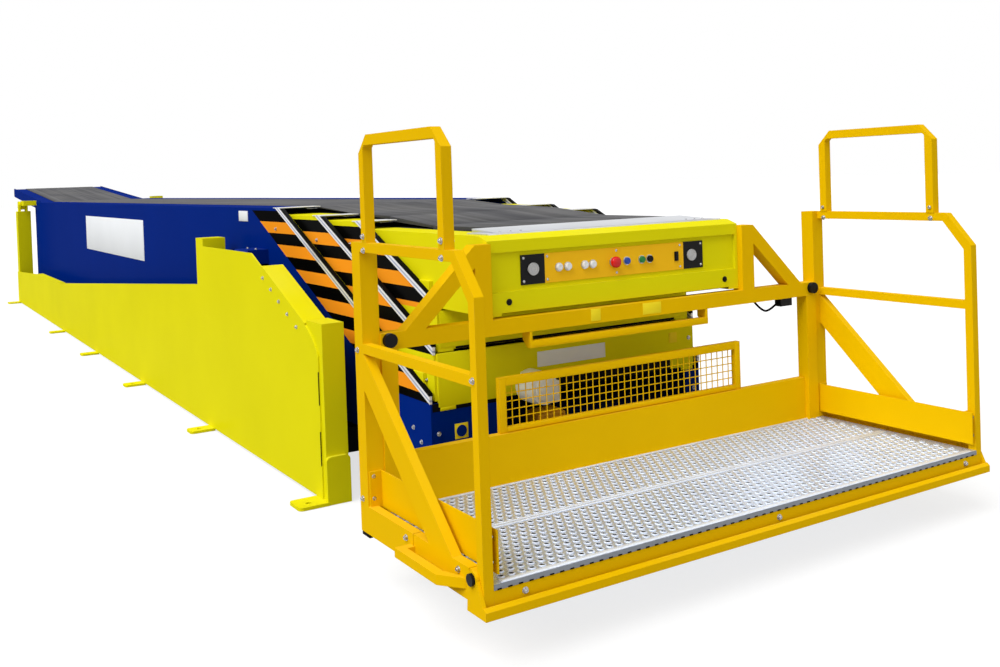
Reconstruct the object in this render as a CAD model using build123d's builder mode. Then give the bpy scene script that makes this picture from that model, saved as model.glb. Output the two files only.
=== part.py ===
"""Telescopic boom conveyor with an operator platform.

A floor-bolted base carries a main boom on two rear pivots and two lift
cylinders. Three boom sections slide out of the main boom one after another,
and the last one carries the control box and the platform.

X points along the boom towards the platform, Y to the left, Z up. The origin
is on the floor, at the middle of the anchor bolts. All lengths are in mm.
"""

import os
from collections import namedtuple
from math import hypot

from build123d import *

# Clearances and stock
SEAT_GAP = 0.3
SHEET = 6.0
TUBE_WALL = 4.0

# Base
ANCHOR_PITCH = 1431.0
ANCHOR_BAYS = 6
ANCHOR_STEPS = (-3, -1, 0, 1, 2, 3)
ANCHOR_HOLE_R = 11.0
TAB_REACH = 112.0
TAB_WIDTH = 90.0
TAB_THICKNESS = 12.0
TAB_HOLE_OUT = 60.0
TAB_ROUND = 18.0
FOOT_DEPTH = 112.0
BASE_SIDE_GAP = 40.0
POST_DEPTH = 152.0
POST_WIDTH = 136.0
FRONT_POST_WIDTH = 94.0
LIFT_POST_WIDTH = 112.0
POST_AHEAD = 25.0
POST_SHOWN = 32.0
FRONT_POST_HEIGHT = 667.0
PANEL_END_HEIGHT = 335.0
PANEL_REAR_HEIGHT = 395.0
PANEL_FLAT_START = -2948.0
PANEL_RISE_START = -1672.0
PANEL_RISE_HEIGHT = 701.0
PANEL_TALL_HEIGHT = 895.0
PANEL_TOE_HEIGHT = 545.0
SLOPE_RUN = 603.0
SLOPE_FOOT_HEIGHT = 647.0
COVER_RUN = 474.0
LIFT_POST_SETBACK = 848.0
LIFT_POST_DEPTH = 120.0
LIFT_POST_HEIGHT = 933.0
CROSS_DEPTH = 160.0
CROSS_HEIGHT = 110.0
FRONT_BEAM_SETBACK = 700.0
BOOT_HEIGHT = 165.0
BOOT_DEPTH = 18.0

# Rear pivot of the boom
PIVOT_DROP = 31.0
PIVOT_RISE = 60.0
PIVOT_PIN_R = 20.0
FORK_THICKNESS = 22.0
FORK_GAP = 46.0
FORK_RADIUS = 48.0
ARM_THICKNESS = 36.0
ARM_RISE = 52.0
ARM_LENGTH = 230.0

# Lift cylinders
LIFT_SETBACK = 376.0
LIFT_OFFSET = 88.0
BARREL_R = 48.0
BARREL_FOOT = 115.0
ROD_R = 28.0
ROD_SHOWN = 68.0
HEAD_R = 40.0
HEAD_HEIGHT = 34.0
LIFT_BRACKET_DROP = 257.0
LIFT_BRACKET_HEIGHT = 66.0
LIFT_BRACKET_LENGTH = 190.0

# Boom sections, nested one in another
MAIN_OVERHANG = 515.0
MAIN_REAR_GAP = 59.0
MAIN_HALF_WIDTH = 600.0
MAIN_TOP = 1079.0
MAIN_BOTTOM = 250.0
MAIN_KNEE = 434.0
BOOM_1_TOP = 1049.0
BOOM_1_BOTTOM = 440.0
BOOM_1_KNEE = 596.0
BOOM_1_PANEL = 483.0
BOOM_2_TOP = 1031.0
BOOM_2_BOTTOM = 602.0
BOOM_2_KNEE = 742.0
BOOM_2_PANEL = 618.0
BOOM_3_TOP = 1002.0
BOOM_3_BOTTOM = 748.0
NEST_SIDE = 21.0
NEST_REAR_FIRST = 467.0
NEST_REAR = 200.0
FRONT_STEP = 6.0
FRONT_SLOPE = 2.215
BELT_HALF_WIDTH = 400.0
BELT_THICKNESS = 6.0
NOSE_RUN = 340.0
NOSE_CLEARANCE = 5.0
NOSE_TIP = 2.0
DECK_THICKNESS = 4.0
DECK_LAP = 40.0
COVER_GAP = 12.0
FLANGE = 60.0
TRIM_WIDTH = 28.0
TRIM_DEPTH = 26.0
TRIM_PROUD = 4.0
PAD_LENGTH = 150.0
PAD_HEIGHT = 90.0
PAD_INSET = 60.0

# Control box on the front of the last section
BOX_AHEAD = 292.0
BOX_DEPTH = 210.0
BOX_LIP = 46.0
BOX_LIP_Z = 986.0
BOX_LID_Z = 948.0
BOX_LOWER_Z = 822.0
BOX_RECESS = 12.0
BOX_CHEEK = 12.0
BOX_NOTCH = 9.0
BOX_NOTCH_INSET = 47.0
NOSE_STRIP_DEPTH = 136.0
NOSE_STRIP_INSET = 36.0

base_end = ANCHOR_PITCH * ANCHOR_BAYS / 2
base_front_x = base_end + POST_AHEAD
main_front_x = base_front_x + MAIN_OVERHANG
main_rear = -base_front_x + POST_DEPTH + MAIN_REAR_GAP
nest_rear = main_rear + NEST_REAR_FIRST
half_widths = [MAIN_HALF_WIDTH - step * NEST_SIDE for step in range(4)]

Section = namedtuple("Section", "name half_width top bottom knee panel_bottom rear front_x")
MAIN = Section(
    "main", half_widths[0], MAIN_TOP, MAIN_BOTTOM, MAIN_KNEE, MAIN_BOTTOM + SHEET, main_rear, main_front_x
)
BOOM_1 = Section(
    "boom_1", half_widths[1], BOOM_1_TOP, BOOM_1_BOTTOM, BOOM_1_KNEE, BOOM_1_PANEL,
    nest_rear, main_front_x - FRONT_STEP,
)
BOOM_2 = Section(
    "boom_2", half_widths[2], BOOM_2_TOP, BOOM_2_BOTTOM, BOOM_2_KNEE, BOOM_2_PANEL,
    nest_rear + NEST_REAR, main_front_x - 2 * FRONT_STEP,
)
BOOM_3 = Section(
    "boom_3", half_widths[3], BOOM_3_TOP, BOOM_3_BOTTOM, BOX_LIP_Z, BOOM_3_BOTTOM,
    nest_rear + 2 * NEST_REAR, main_front_x + BOX_AHEAD,
)
SECTIONS = [MAIN, BOOM_1, BOOM_2, BOOM_3]

# Infeed tail behind the main boom
TAIL_LENGTH = 2376.0
TAIL_HALF_WIDTH = 525.0
TAIL_RISE = 166.0
TAIL_HEIGHT = 105.0
TAIL_ROUND = 34.0
TAIL_END_HEIGHT = 200.0
TAIL_ROLLER_R = 44.0
MAIN_CHEEK_RIGHT = 285.0
MAIN_CHEEK_LEFT = 65.0

# Controls on the box
PANEL_WIDTH = 596.0
PANEL_HEIGHT = 96.0
PANEL_Z = 886.0
PANEL_Y = -17.0
PANEL_THICKNESS = 4.0
LAMP_SIZE = 92.0
LAMP_R = 20.0
BUTTON_R = 12.5
BUTTON_REACH = 12.0
KEY_REACH = 18.0
ESTOP_R = 19.0
ESTOP_Y = -34.0

Control = namedtuple("Control", "name y reach")
CONTROLS = [
    Control("in_a", -261.0, BUTTON_REACH),
    Control("in_b", -225.0, BUTTON_REACH),
    Control("out_a", -156.0, BUTTON_REACH),
    Control("out_b", -123.0, BUTTON_REACH),
    Control("reset", 22.0, BUTTON_REACH),
    Control("start", 88.0, BUTTON_REACH),
    Control("stop", 128.0, BUTTON_REACH),
    Control("key", 247.0, KEY_REACH),
]

# Platform
PLATFORM_SETBACK = 38.0
PLATFORM_DEPTH = 697.0
PLATFORM_HALF_WIDTH = 977.0
PLATFORM_BOTTOM = 163.0
REAR_POST_SIZE = 55.0
RAIL_SIZE = 28.0
FRAME_RAIL = 40.0
FLOOR_TOP = 218.0
FLOOR_THICKNESS = 14.0
PLANK_COUNT = 2
PLANK_GAP = 3.0
GUARD_TOP = 1012.0
GUARD_FRONT_TOP = 905.0
GUARD_MID = 704.0
GUARD_BEND = 90.0
GUARD_BRACE_TOP = 690.0
GUARD_BRACE_FOOT = 547.0
GUARD_BRACE_CUT = 108.0
GUARD_BRACE_LAP = 123.0
TOE_TOP = 346.0
TOE_BOTTOM = 240.0
TOE_THICKNESS = 4.0
TOE_INSET = 45.0
TOE_BRACKET = 40.0
SIDE_RAIL_HEIGHT = 82.0
SLIT_WIDTH = 3.0
SLIT_FOOT = 190.0
SLIT_SETBACKS = [362.0, 66.0]
HOOP_REAR = 72.0
HOOP_FRONT_SETBACK = 136.0
HOOP_TOP = 1319.0
HOOP_SIZE = 30.0
HOOP_CHAMFER = 52.0
HOOP_INNER_CHAMFER = 8.0
BEAM_TOP = 742.0
BEAM_HEIGHT = 50.0
BEAM_FRONT = 62.0
HANGER_WIDTH = 52.0
UPRIGHT_WIDTH = 58.0
UPRIGHT_TOP = 979.0
BRACE_FOOT_SETBACK = 80.0
BRACE_CUT = 69.0
BOARD_TOP = 376.0
BOARD_DEPTH = 30.0
MESH_HALF_WIDTH = 527.0
MESH_Y = 22.0
MESH_TOP = 562.0
MESH_FRAME = 28.0
MESH_THICKNESS = 20.0
MESH_WIRE = 4.0
MESH_COLUMNS = 27
MESH_ROWS = 5
GRAB_RIGHT_Y = -422.0
GRAB_LEFT_Y = 324.0
GRAB_Z = 651.0
GRAB_SIZE = 24.0
CAP_R = 21.0
CAP_LENGTH = 16.0
CAP_Z = 721.0

# Side bumpers and hinged safety bar
BUMPER_REAR_SETBACK = 379.0
BUMPER_BEND_SETBACK = 149.0
BUMPER_FRONT_SETBACK = 84.0
BUMPER_REACH = 48.0
BUMPER_Z = 188.0
BUMPER_SIZE = 26.0
BAR_AHEAD = 23.0
BAR_THICKNESS = 12.0
BAR_BEVEL = 8.0
BAR_BOTTOM = 145.0
BAR_TOP = 174.0
BAR_ARM_THICKNESS = 10.0
BAR_ARM_TOP_WIDTH = 40.0
BAR_ARM_BOTTOM_WIDTH = 88.0
BAR_PIN_SETBACK = 36.0
BAR_PIN_Z = 229.0
BAR_PIN_R = 8.0
BAR_PIN_CAP_R = 15.0

# Drive motor under the first section's front panel and the platform's end sensor
MOTOR_Y = -205.0
MOTOR_DROP = 30.0
MOTOR_R = 60.0
MOTOR_LENGTH = 170.0
MOTOR_ROUND = 26.0
SENSOR_SETBACK = 152.0
SENSOR_SIZE = 30.0
LEAD_R = 4.0
LEAD_RUN = 42.0
LEAD_SAG = 26.0
LEAD_BEND = 40.0

post_inner = MAIN.half_width + BASE_SIDE_GAP
base_half_width = post_inner + POST_WIDTH
front_post_inner = base_half_width - FRONT_POST_WIDTH
pivot_x = -base_front_x + POST_DEPTH / 2
pivot_z = MAIN.top - PIVOT_DROP
rear_post_height = pivot_z - PIVOT_RISE
platform_rear_x = BOOM_3.front_x - PLATFORM_SETBACK
platform_front = platform_rear_x + PLATFORM_DEPTH
inner_guard = PLATFORM_HALF_WIDTH - REAR_POST_SIZE
rail_inside = PLATFORM_HALF_WIDTH - RAIL_SIZE

os.makedirs("parts", exist_ok=True)


def save(piece, name):
    """Label a finished piece and write it as a STEP file."""
    piece.part.label = name
    export_step(piece.part, f"parts/{name}.step")


def save_pair(piece, name):
    """Write a piece made on the right side, and its mirror image on the left."""
    with BuildPart() as twin:
        mirror(piece.part, about=Plane.XZ)
    save(piece, f"{name}_right")
    save(twin, f"{name}_left")


def save_both(piece, name):
    """Write a piece made on the right side together with its mirror image."""
    with BuildPart() as both:
        add(piece.part)
        mirror(piece.part, about=Plane.XZ)
    save(both, name)


def slant_x(section, z):
    """Give the X of a section's slanted front edge at a height."""
    return section.front_x - (z - section.knee) * FRONT_SLOPE


# Base: side panels with their flanges and floor tabs
panel_bottom = TAB_THICKNESS
panel_inside = base_half_width - SHEET
panel_front_x = base_front_x - POST_SHOWN
slope_foot_x = base_front_x - POST_DEPTH
panel_tall_end = slope_foot_x - SLOPE_RUN
lift_post_x = panel_tall_end - LIFT_POST_SETBACK
lift_post_front = lift_post_x + LIFT_POST_DEPTH
rear_post_front = -base_front_x + POST_DEPTH
anchor_places = [step * ANCHOR_PITCH for step in ANCHOR_STEPS]
with BuildPart() as base_side:
    with BuildSketch(Plane.XZ.offset(panel_inside)):
        with BuildLine():
            outline = Polyline(
                (panel_front_x, PANEL_TOE_HEIGHT),
                (panel_front_x, panel_bottom),
                (-base_front_x, panel_bottom),
                (-base_front_x, PANEL_END_HEIGHT),
                (PANEL_FLAT_START, PANEL_REAR_HEIGHT),
                (PANEL_RISE_START, PANEL_REAR_HEIGHT),
                (lift_post_x, PANEL_RISE_HEIGHT),
                (lift_post_x, LIFT_POST_HEIGHT),
                (lift_post_front, LIFT_POST_HEIGHT),
                (lift_post_front, PANEL_TALL_HEIGHT),
                (panel_tall_end, PANEL_TALL_HEIGHT),
                (slope_foot_x, SLOPE_FOOT_HEIGHT),
            )
            TangentArc(outline @ 1, outline @ 0, tangent=outline % 1)
        make_face()
    extrude(amount=SHEET)
    with BuildSketch(Plane.XZ.offset(panel_inside - FLANGE)):
        with Locations((rear_post_front, panel_bottom)):
            Rectangle(slope_foot_x - rear_post_front, SHEET, align=Align.MIN)
        with Locations((PANEL_FLAT_START, PANEL_REAR_HEIGHT - SHEET)):
            Rectangle(PANEL_RISE_START - PANEL_FLAT_START, SHEET, align=Align.MIN)
    extrude(amount=FLANGE)
    with BuildSketch(Plane.XY):
        with Locations(*[(x, -panel_inside) for x in anchor_places]):
            Rectangle(TAB_WIDTH, SHEET + TAB_REACH, align=(Align.CENTER, Align.MAX))
        with Locations((-base_front_x, -post_inner)):
            Rectangle(FOOT_DEPTH, POST_WIDTH + TAB_REACH, align=(Align.MIN, Align.MAX))
        with Locations((base_front_x + BOOT_DEPTH, -front_post_inner)):
            Rectangle(FOOT_DEPTH, FRONT_POST_WIDTH + TAB_REACH, align=(Align.MAX, Align.MAX))
        fillet(vertices().group_by(Axis.Y)[0], radius=TAB_ROUND)
    extrude(amount=TAB_THICKNESS)
    with Locations(*[(x, -base_half_width - TAB_HOLE_OUT, TAB_THICKNESS) for x in anchor_places]):
        Hole(ANCHOR_HOLE_R, depth=TAB_THICKNESS)
save_pair(base_side, "base_side")

# Base: hollow posts at the front, at the lift cylinders and at the rear
Post = namedtuple("Post", "name x foot height depth width")
POSTS = [
    Post("front", slope_foot_x, TAB_THICKNESS, FRONT_POST_HEIGHT, POST_DEPTH, FRONT_POST_WIDTH - SHEET),
    Post("lift", lift_post_x, panel_bottom + SHEET, LIFT_POST_HEIGHT, LIFT_POST_DEPTH, LIFT_POST_WIDTH - SHEET),
    Post("rear", -base_front_x, TAB_THICKNESS, rear_post_height, POST_DEPTH, POST_WIDTH - SHEET),
]
tubes = {}
for post in POSTS:
    with BuildPart() as tube:
        with BuildSketch(Plane.XY.offset(post.foot)):
            with Locations((post.x + post.depth / 2, post.width / 2 - panel_inside)):
                Rectangle(post.depth, post.width)
                offset(amount=-TUBE_WALL, kind=Kind.INTERSECTION, mode=Mode.SUBTRACT)
        extrude(amount=post.height - post.foot - TUBE_WALL)
        with BuildSketch(Plane.XY.offset(post.height - TUBE_WALL)):
            with Locations((post.x + post.depth / 2, post.width / 2 - panel_inside)):
                Rectangle(post.depth, post.width)
        extrude(amount=TUBE_WALL)
    tubes[post.name] = tube.part

with BuildPart() as posts:
    add(tubes["lift"])
    add(tubes["front"])
    with BuildSketch(Plane.YZ.offset(base_front_x)):
        with Locations((FRONT_POST_WIDTH / 2 - base_half_width, TAB_THICKNESS)):
            RectangleRounded(FRONT_POST_WIDTH, 2 * BOOT_HEIGHT, BOOT_DEPTH)
            Rectangle(POST_WIDTH, 2 * BOOT_HEIGHT, align=(Align.CENTER, Align.MAX), mode=Mode.SUBTRACT)
    extrude(amount=BOOT_DEPTH)
save_both(posts, "base_posts")

fork_y = (base_half_width + post_inner) / 2
with BuildPart() as rear_post:
    add(tubes["rear"])
    for inside in (fork_y - FORK_GAP / 2 - FORK_THICKNESS, fork_y + FORK_GAP / 2):
        with BuildSketch(Plane.XZ.offset(inside)):
            with Locations((pivot_x, pivot_z)):
                Circle(FORK_RADIUS)
            with Locations((pivot_x, rear_post_height)):
                Rectangle(2 * FORK_RADIUS, PIVOT_RISE, align=(Align.CENTER, Align.MIN))
        extrude(amount=FORK_THICKNESS)
    with BuildSketch(Plane.XZ.offset(fork_y - FORK_GAP / 2)):
        with Locations((pivot_x, pivot_z)):
            Circle(PIVOT_PIN_R)
    extrude(amount=FORK_GAP)
save_both(rear_post, "base_rear_posts")

# Base: bolted cover on the sloped top behind each front post
slope_drop = PANEL_TALL_HEIGHT - SLOPE_FOOT_HEIGHT
cover_length = hypot(slope_drop, SLOPE_RUN) * COVER_RUN / SLOPE_RUN
slope_plane = Plane(
    origin=(slope_foot_x, -base_half_width, SLOPE_FOOT_HEIGHT),
    x_dir=(-SLOPE_RUN, 0, slope_drop),
    z_dir=(slope_drop, 0, SLOPE_RUN),
)
with BuildPart() as slope_cover:
    with BuildSketch(slope_plane):
        with Locations((SHEET, 0)):
            Rectangle(cover_length - SHEET, FRONT_POST_WIDTH, align=(Align.MIN, Align.MAX))
    extrude(amount=SHEET)
save_both(slope_cover, "slope_covers")

CrossMember = namedtuple("CrossMember", "x half_length")
CROSS_MEMBERS = [
    CrossMember(-base_end, post_inner),
    CrossMember(-ANCHOR_PITCH, panel_inside - FLANGE),
    CrossMember(ANCHOR_PITCH, panel_inside - FLANGE),
    CrossMember(base_front_x - FRONT_BEAM_SETBACK, panel_inside - FLANGE),
]
with BuildPart() as cross_members:
    for member in CROSS_MEMBERS:
        with BuildSketch(Plane.XZ.offset(-member.half_length)):
            with Locations((member.x, 0)):
                Rectangle(CROSS_DEPTH, CROSS_HEIGHT, align=(Align.CENTER, Align.MIN))
            offset(amount=-TUBE_WALL, kind=Kind.INTERSECTION, mode=Mode.SUBTRACT)
        extrude(amount=2 * member.half_length)
save(cross_members, "base_cross_members")

# Lift cylinders: a barrel on a floor plate, and a rod with a flat head under the boom's bracket
lift_x = panel_tall_end - LIFT_SETBACK
lift_y = MAIN.half_width + LIFT_OFFSET
head_top = MAIN.top - LIFT_BRACKET_DROP
barrel_top = head_top - HEAD_HEIGHT - ROD_SHOWN
barrel_foot = panel_bottom + SHEET
with BuildPart() as barrel:
    with BuildSketch(Plane.XY.offset(barrel_foot)):
        with Locations((lift_x, -lift_y)):
            Rectangle(BARREL_FOOT, BARREL_FOOT)
    extrude(amount=SHEET)
    with BuildSketch(Plane.XY.offset(barrel_foot + SHEET)):
        with Locations((lift_x, -lift_y)):
            Circle(BARREL_R)
    extrude(amount=barrel_top - barrel_foot - SHEET)
    with BuildSketch(Plane.XY.offset(barrel_top)):
        with Locations((lift_x, -lift_y)):
            Circle(ROD_R + SEAT_GAP)
    extrude(amount=barrel_foot + 2 * SHEET - barrel_top, mode=Mode.SUBTRACT)
save_both(barrel, "lift_barrels")

rod_foot = barrel_foot + 3 * SHEET
with BuildPart() as rod:
    with BuildSketch(Plane.XY.offset(rod_foot)):
        with Locations((lift_x, -lift_y)):
            Circle(ROD_R)
    extrude(amount=head_top - rod_foot)
    with BuildSketch(Plane.XY.offset(head_top - HEAD_HEIGHT)):
        with Locations((lift_x, -lift_y)):
            Circle(HEAD_R)
    extrude(amount=HEAD_HEIGHT)
save_pair(rod, "lift_rod")

bracket_reach = lift_y + HEAD_R - MAIN.half_width
with BuildPart() as lift_bracket:
    with BuildSketch(Plane.XY.offset(head_top + SEAT_GAP)):
        with Locations((lift_x, -MAIN.half_width)):
            Rectangle(LIFT_BRACKET_LENGTH, bracket_reach, align=(Align.CENTER, Align.MAX))
    extrude(amount=LIFT_BRACKET_HEIGHT)
    outer_top = lift_bracket.edges().filter_by(Axis.X).sort_by(Axis.Z)[-2:].sort_by(Axis.Y)[0]
    chamfer(outer_top, length=LIFT_BRACKET_HEIGHT / 2)

# Boom sections: sides with inturned covers, deck, belt, front pan and edge trim
cover_inner = BELT_HALF_WIDTH + COVER_GAP
tail_rear_x = MAIN.rear - TAIL_LENGTH
tail_top = MAIN.top + TAIL_RISE
tail_belt_x = tail_rear_x + TAIL_HEIGHT
tail_belt_z = tail_top - TAIL_HEIGHT * TAIL_RISE / TAIL_LENGTH
box_rear = BOOM_3.front_x - BOX_DEPTH
for section in SECTIONS:
    slant_top = box_rear if section is BOOM_3 else slant_x(section, section.top)
    side_end = box_rear if section is BOOM_3 else section.front_x
    inner = section.half_width - SHEET
    with BuildPart() as side:
        with BuildSketch(Plane.YZ.offset(section.rear)):
            with Locations((-section.half_width, section.bottom)):
                Rectangle(SHEET, section.top - section.bottom, align=Align.MIN)
                Rectangle(FLANGE, SHEET, align=Align.MIN)
            with Locations((-section.half_width, section.top - SHEET)):
                Rectangle(section.half_width - cover_inner, SHEET, align=Align.MIN)
        extrude(amount=side_end - section.rear)
        if section is not BOOM_3:
            with BuildSketch(Plane.XZ.offset(cover_inner)):
                with BuildLine():
                    Polyline(
                        (slant_top, section.top),
                        (section.front_x, section.top),
                        (section.front_x, section.knee),
                        close=True,
                    )
                make_face()
            extrude(amount=section.half_width - cover_inner, mode=Mode.SUBTRACT)
    save_pair(side, f"{section.name}_side")

    with BuildPart() as deck:
        with BuildSketch(Plane.XY.offset(section.top - SHEET - DECK_THICKNESS)):
            with Locations((section.rear, 0)):
                Rectangle(
                    slant_top - section.rear, 2 * (cover_inner + DECK_LAP), align=(Align.MIN, Align.CENTER)
                )
        extrude(amount=DECK_THICKNESS)
        if section is BOOM_3:
            with BuildSketch(Plane.XY.offset(section.top)):
                with Locations((section.front_x - BOX_LIP, 0)):
                    Rectangle(
                        NOSE_STRIP_DEPTH,
                        2 * (section.half_width - NOSE_STRIP_INSET),
                        align=(Align.MAX, Align.CENTER),
                    )
            extrude(amount=DECK_THICKNESS)
    save(deck, f"{section.name}_deck")

    with BuildPart() as belt:
        with BuildSketch(Plane.XY.offset(section.top - SHEET)):
            with Locations((section.rear, 0)):
                Rectangle(
                    slant_top - section.rear, 2 * BELT_HALF_WIDTH, align=(Align.MIN, Align.CENTER)
                )
        extrude(amount=BELT_THICKNESS)
        if section is not BOOM_3:
            nose_foot = SECTIONS[SECTIONS.index(section) + 1].top + NOSE_CLEARANCE
            with BuildSketch(Plane.XZ.offset(-BELT_HALF_WIDTH)):
                with BuildLine():
                    Polyline(
                        (slant_top, section.top),
                        (slant_top + NOSE_RUN, nose_foot + NOSE_TIP),
                        (slant_top + NOSE_RUN, nose_foot),
                        (slant_top, section.top - BELT_THICKNESS),
                        close=True,
                    )
                make_face()
            extrude(amount=2 * BELT_HALF_WIDTH)
    save(belt, f"{section.name}_belt")

    with BuildPart() as pan:
        with BuildSketch(Plane.XY.offset(section.bottom + SHEET)):
            with Locations((section.rear, 0)):
                Rectangle(side_end - section.rear, 2 * inner, align=(Align.MIN, Align.CENTER))
        extrude(amount=SHEET)
        if section is not BOOM_3:
            with BuildSketch(Plane.YZ.offset(section.front_x - SHEET)):
                with Locations((0, section.panel_bottom)):
                    Rectangle(
                        2 * inner, section.knee - section.panel_bottom, align=(Align.CENTER, Align.MIN)
                    )
                with Locations((-inner, section.bottom + SHEET), (inner - FLANGE, section.bottom + SHEET)):
                    Rectangle(FLANGE, section.knee - section.bottom - SHEET, align=Align.MIN)
            extrude(amount=SHEET)
        if section is MAIN:
            mouth = 2 * inner - MAIN_CHEEK_RIGHT - MAIN_CHEEK_LEFT
            with BuildSketch(Plane.YZ.offset(section.front_x - SHEET)):
                with Locations((-inner + MAIN_CHEEK_RIGHT, section.bottom + 2 * SHEET)):
                    Rectangle(mouth, section.knee - section.bottom, align=Align.MIN)
            extrude(amount=SHEET, mode=Mode.SUBTRACT)
    save(pan, f"{section.name}_pan")

    if section is BOOM_3:
        continue
    slant_length = hypot(1, FRONT_SLOPE)
    trim_run = TRIM_WIDTH * slant_length
    trim_rise = TRIM_WIDTH * slant_length / FRONT_SLOPE
    with BuildPart() as trim:
        with BuildSketch(Plane.XZ.offset(inner)):
            with BuildLine():
                Polyline(
                    (slant_top, section.top),
                    (slant_top + trim_run, section.top),
                    (section.front_x, section.knee + trim_rise),
                    (section.front_x, section.knee),
                    close=True,
                )
            make_face()
        extrude(amount=SHEET + TRIM_PROUD)
        with BuildSketch(Plane.XY.offset(section.top)):
            with Locations((slant_top - TRIM_DEPTH, -section.half_width - TRIM_PROUD)):
                Rectangle(
                    TRIM_DEPTH + trim_run, section.half_width + TRIM_PROUD - cover_inner, align=Align.MIN
                )
        extrude(amount=SHEET / 2)
        mirror(about=Plane.XZ)
    save(trim, f"{section.name}_trim")

with BuildPart() as tail_belt:
    with BuildSketch(Plane.XZ.offset(-BELT_HALF_WIDTH)):
        with BuildLine():
            Polyline(
                (MAIN.rear, MAIN.top),
                (tail_belt_x, tail_belt_z),
                (tail_belt_x, tail_belt_z - BELT_THICKNESS),
                (MAIN.rear, MAIN.top - BELT_THICKNESS),
                close=True,
            )
        make_face()
    extrude(amount=2 * BELT_HALF_WIDTH)
save(tail_belt, "tail_belt")

# Wear pads between each section and the one that slides in it
for outer, inner in zip(SECTIONS, SECTIONS[1:]):
    gap = outer.half_width - SHEET - inner.half_width
    pad_x = outer.front_x - PAD_INSET - PAD_LENGTH
    with BuildPart() as pads:
        with BuildSketch(Plane.XZ.offset(inner.half_width + SEAT_GAP)):
            with Locations((pad_x, inner.bottom)):
                Rectangle(PAD_LENGTH, PAD_HEIGHT, align=Align.MIN)
        extrude(amount=gap - SEAT_GAP)
        mirror(about=Plane.XZ)
    save(pads, f"{outer.name}_pads")

# Infeed tail: a sloped tray with its belt and end roller
with BuildPart() as tail:
    with BuildSketch(Plane.XZ.offset(TAIL_HALF_WIDTH - SHEET)):
        with BuildLine():
            Polyline(
                (MAIN.rear, MAIN.top),
                (tail_rear_x, tail_top),
                (tail_rear_x, tail_top - TAIL_HEIGHT),
                (MAIN.rear, MAIN.top - TAIL_HEIGHT),
                close=True,
            )
        make_face()
        fillet(vertices().group_by(Axis.X)[0], radius=TAIL_ROUND)
    extrude(amount=SHEET)
    mirror(about=Plane.XZ)
    with BuildSketch(Plane.XZ.offset(-TAIL_HALF_WIDTH)):
        with BuildLine():
            Polyline(
                (MAIN.rear, MAIN.top - BELT_THICKNESS),
                (tail_belt_x, tail_belt_z - BELT_THICKNESS),
                (tail_belt_x, tail_belt_z - BELT_THICKNESS - SHEET),
                (MAIN.rear, MAIN.top - BELT_THICKNESS - SHEET),
                close=True,
            )
        make_face()
    extrude(amount=2 * TAIL_HALF_WIDTH)
    with BuildSketch(Plane.YZ.offset(MAIN.rear)):
        with Locations((0, MAIN.top - SHEET - DECK_THICKNESS)):
            Rectangle(2 * MAIN.half_width, TAIL_END_HEIGHT, align=(Align.CENTER, Align.MAX))
    extrude(amount=-SHEET)
save(tail, "main_tail")

with BuildPart() as tail_roller:
    with BuildSketch(Plane.XZ.offset(-TAIL_HALF_WIDTH + SHEET)):
        with Locations((tail_rear_x + TAIL_HEIGHT / 2, tail_top - TAIL_HEIGHT / 2)):
            Circle(TAIL_ROLLER_R)
    extrude(amount=2 * (TAIL_HALF_WIDTH - SHEET))
save(tail_roller, "tail_roller")

# Pivot arms from the main boom's rear corners out to the forks
with BuildPart() as pivot_arm:
    with BuildSketch(Plane.XZ.offset(fork_y - ARM_THICKNESS / 2)):
        with Locations((pivot_x, pivot_z)):
            Circle(FORK_RADIUS - SHEET)
            Rectangle(ARM_LENGTH, ARM_RISE, align=(Align.MIN, Align.MIN))
            Circle(PIVOT_PIN_R + SEAT_GAP, mode=Mode.SUBTRACT)
    extrude(amount=ARM_THICKNESS)
    with BuildSketch(Plane.XZ.offset(MAIN.half_width)):
        with Locations((MAIN.rear + SHEET, pivot_z)):
            Rectangle(ARM_LENGTH + pivot_x - MAIN.rear - SHEET, ARM_RISE, align=Align.MIN)
    extrude(amount=fork_y - ARM_THICKNESS / 2 - MAIN.half_width)
with BuildPart() as brackets:
    add(lift_bracket.part)
    add(pivot_arm.part)
save_both(brackets, "main_brackets")

# Drive motor on a plate that hangs from the first section's front panel
motor_z = BOOM_1.panel_bottom - MOTOR_DROP
motor_x = BOOM_1.front_x + SHEET + MOTOR_R
with BuildPart() as motor:
    with BuildSketch(Plane.XZ.offset(-MOTOR_Y - MOTOR_LENGTH / 2)):
        with Locations((motor_x, motor_z)):
            Circle(MOTOR_R)
    extrude(amount=MOTOR_LENGTH)
    fillet(motor.edges().filter_by(GeomType.CIRCLE), radius=MOTOR_ROUND)
    with BuildSketch(Plane.YZ.offset(BOOM_1.front_x)):
        with Locations((MOTOR_Y, motor_z - MOTOR_R / 2)):
            Rectangle(MOTOR_LENGTH / 2, 2 * MOTOR_R, align=(Align.CENTER, Align.MIN))
    extrude(amount=SHEET + MOTOR_R / 2)
save(motor, "drive_motor")

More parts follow.
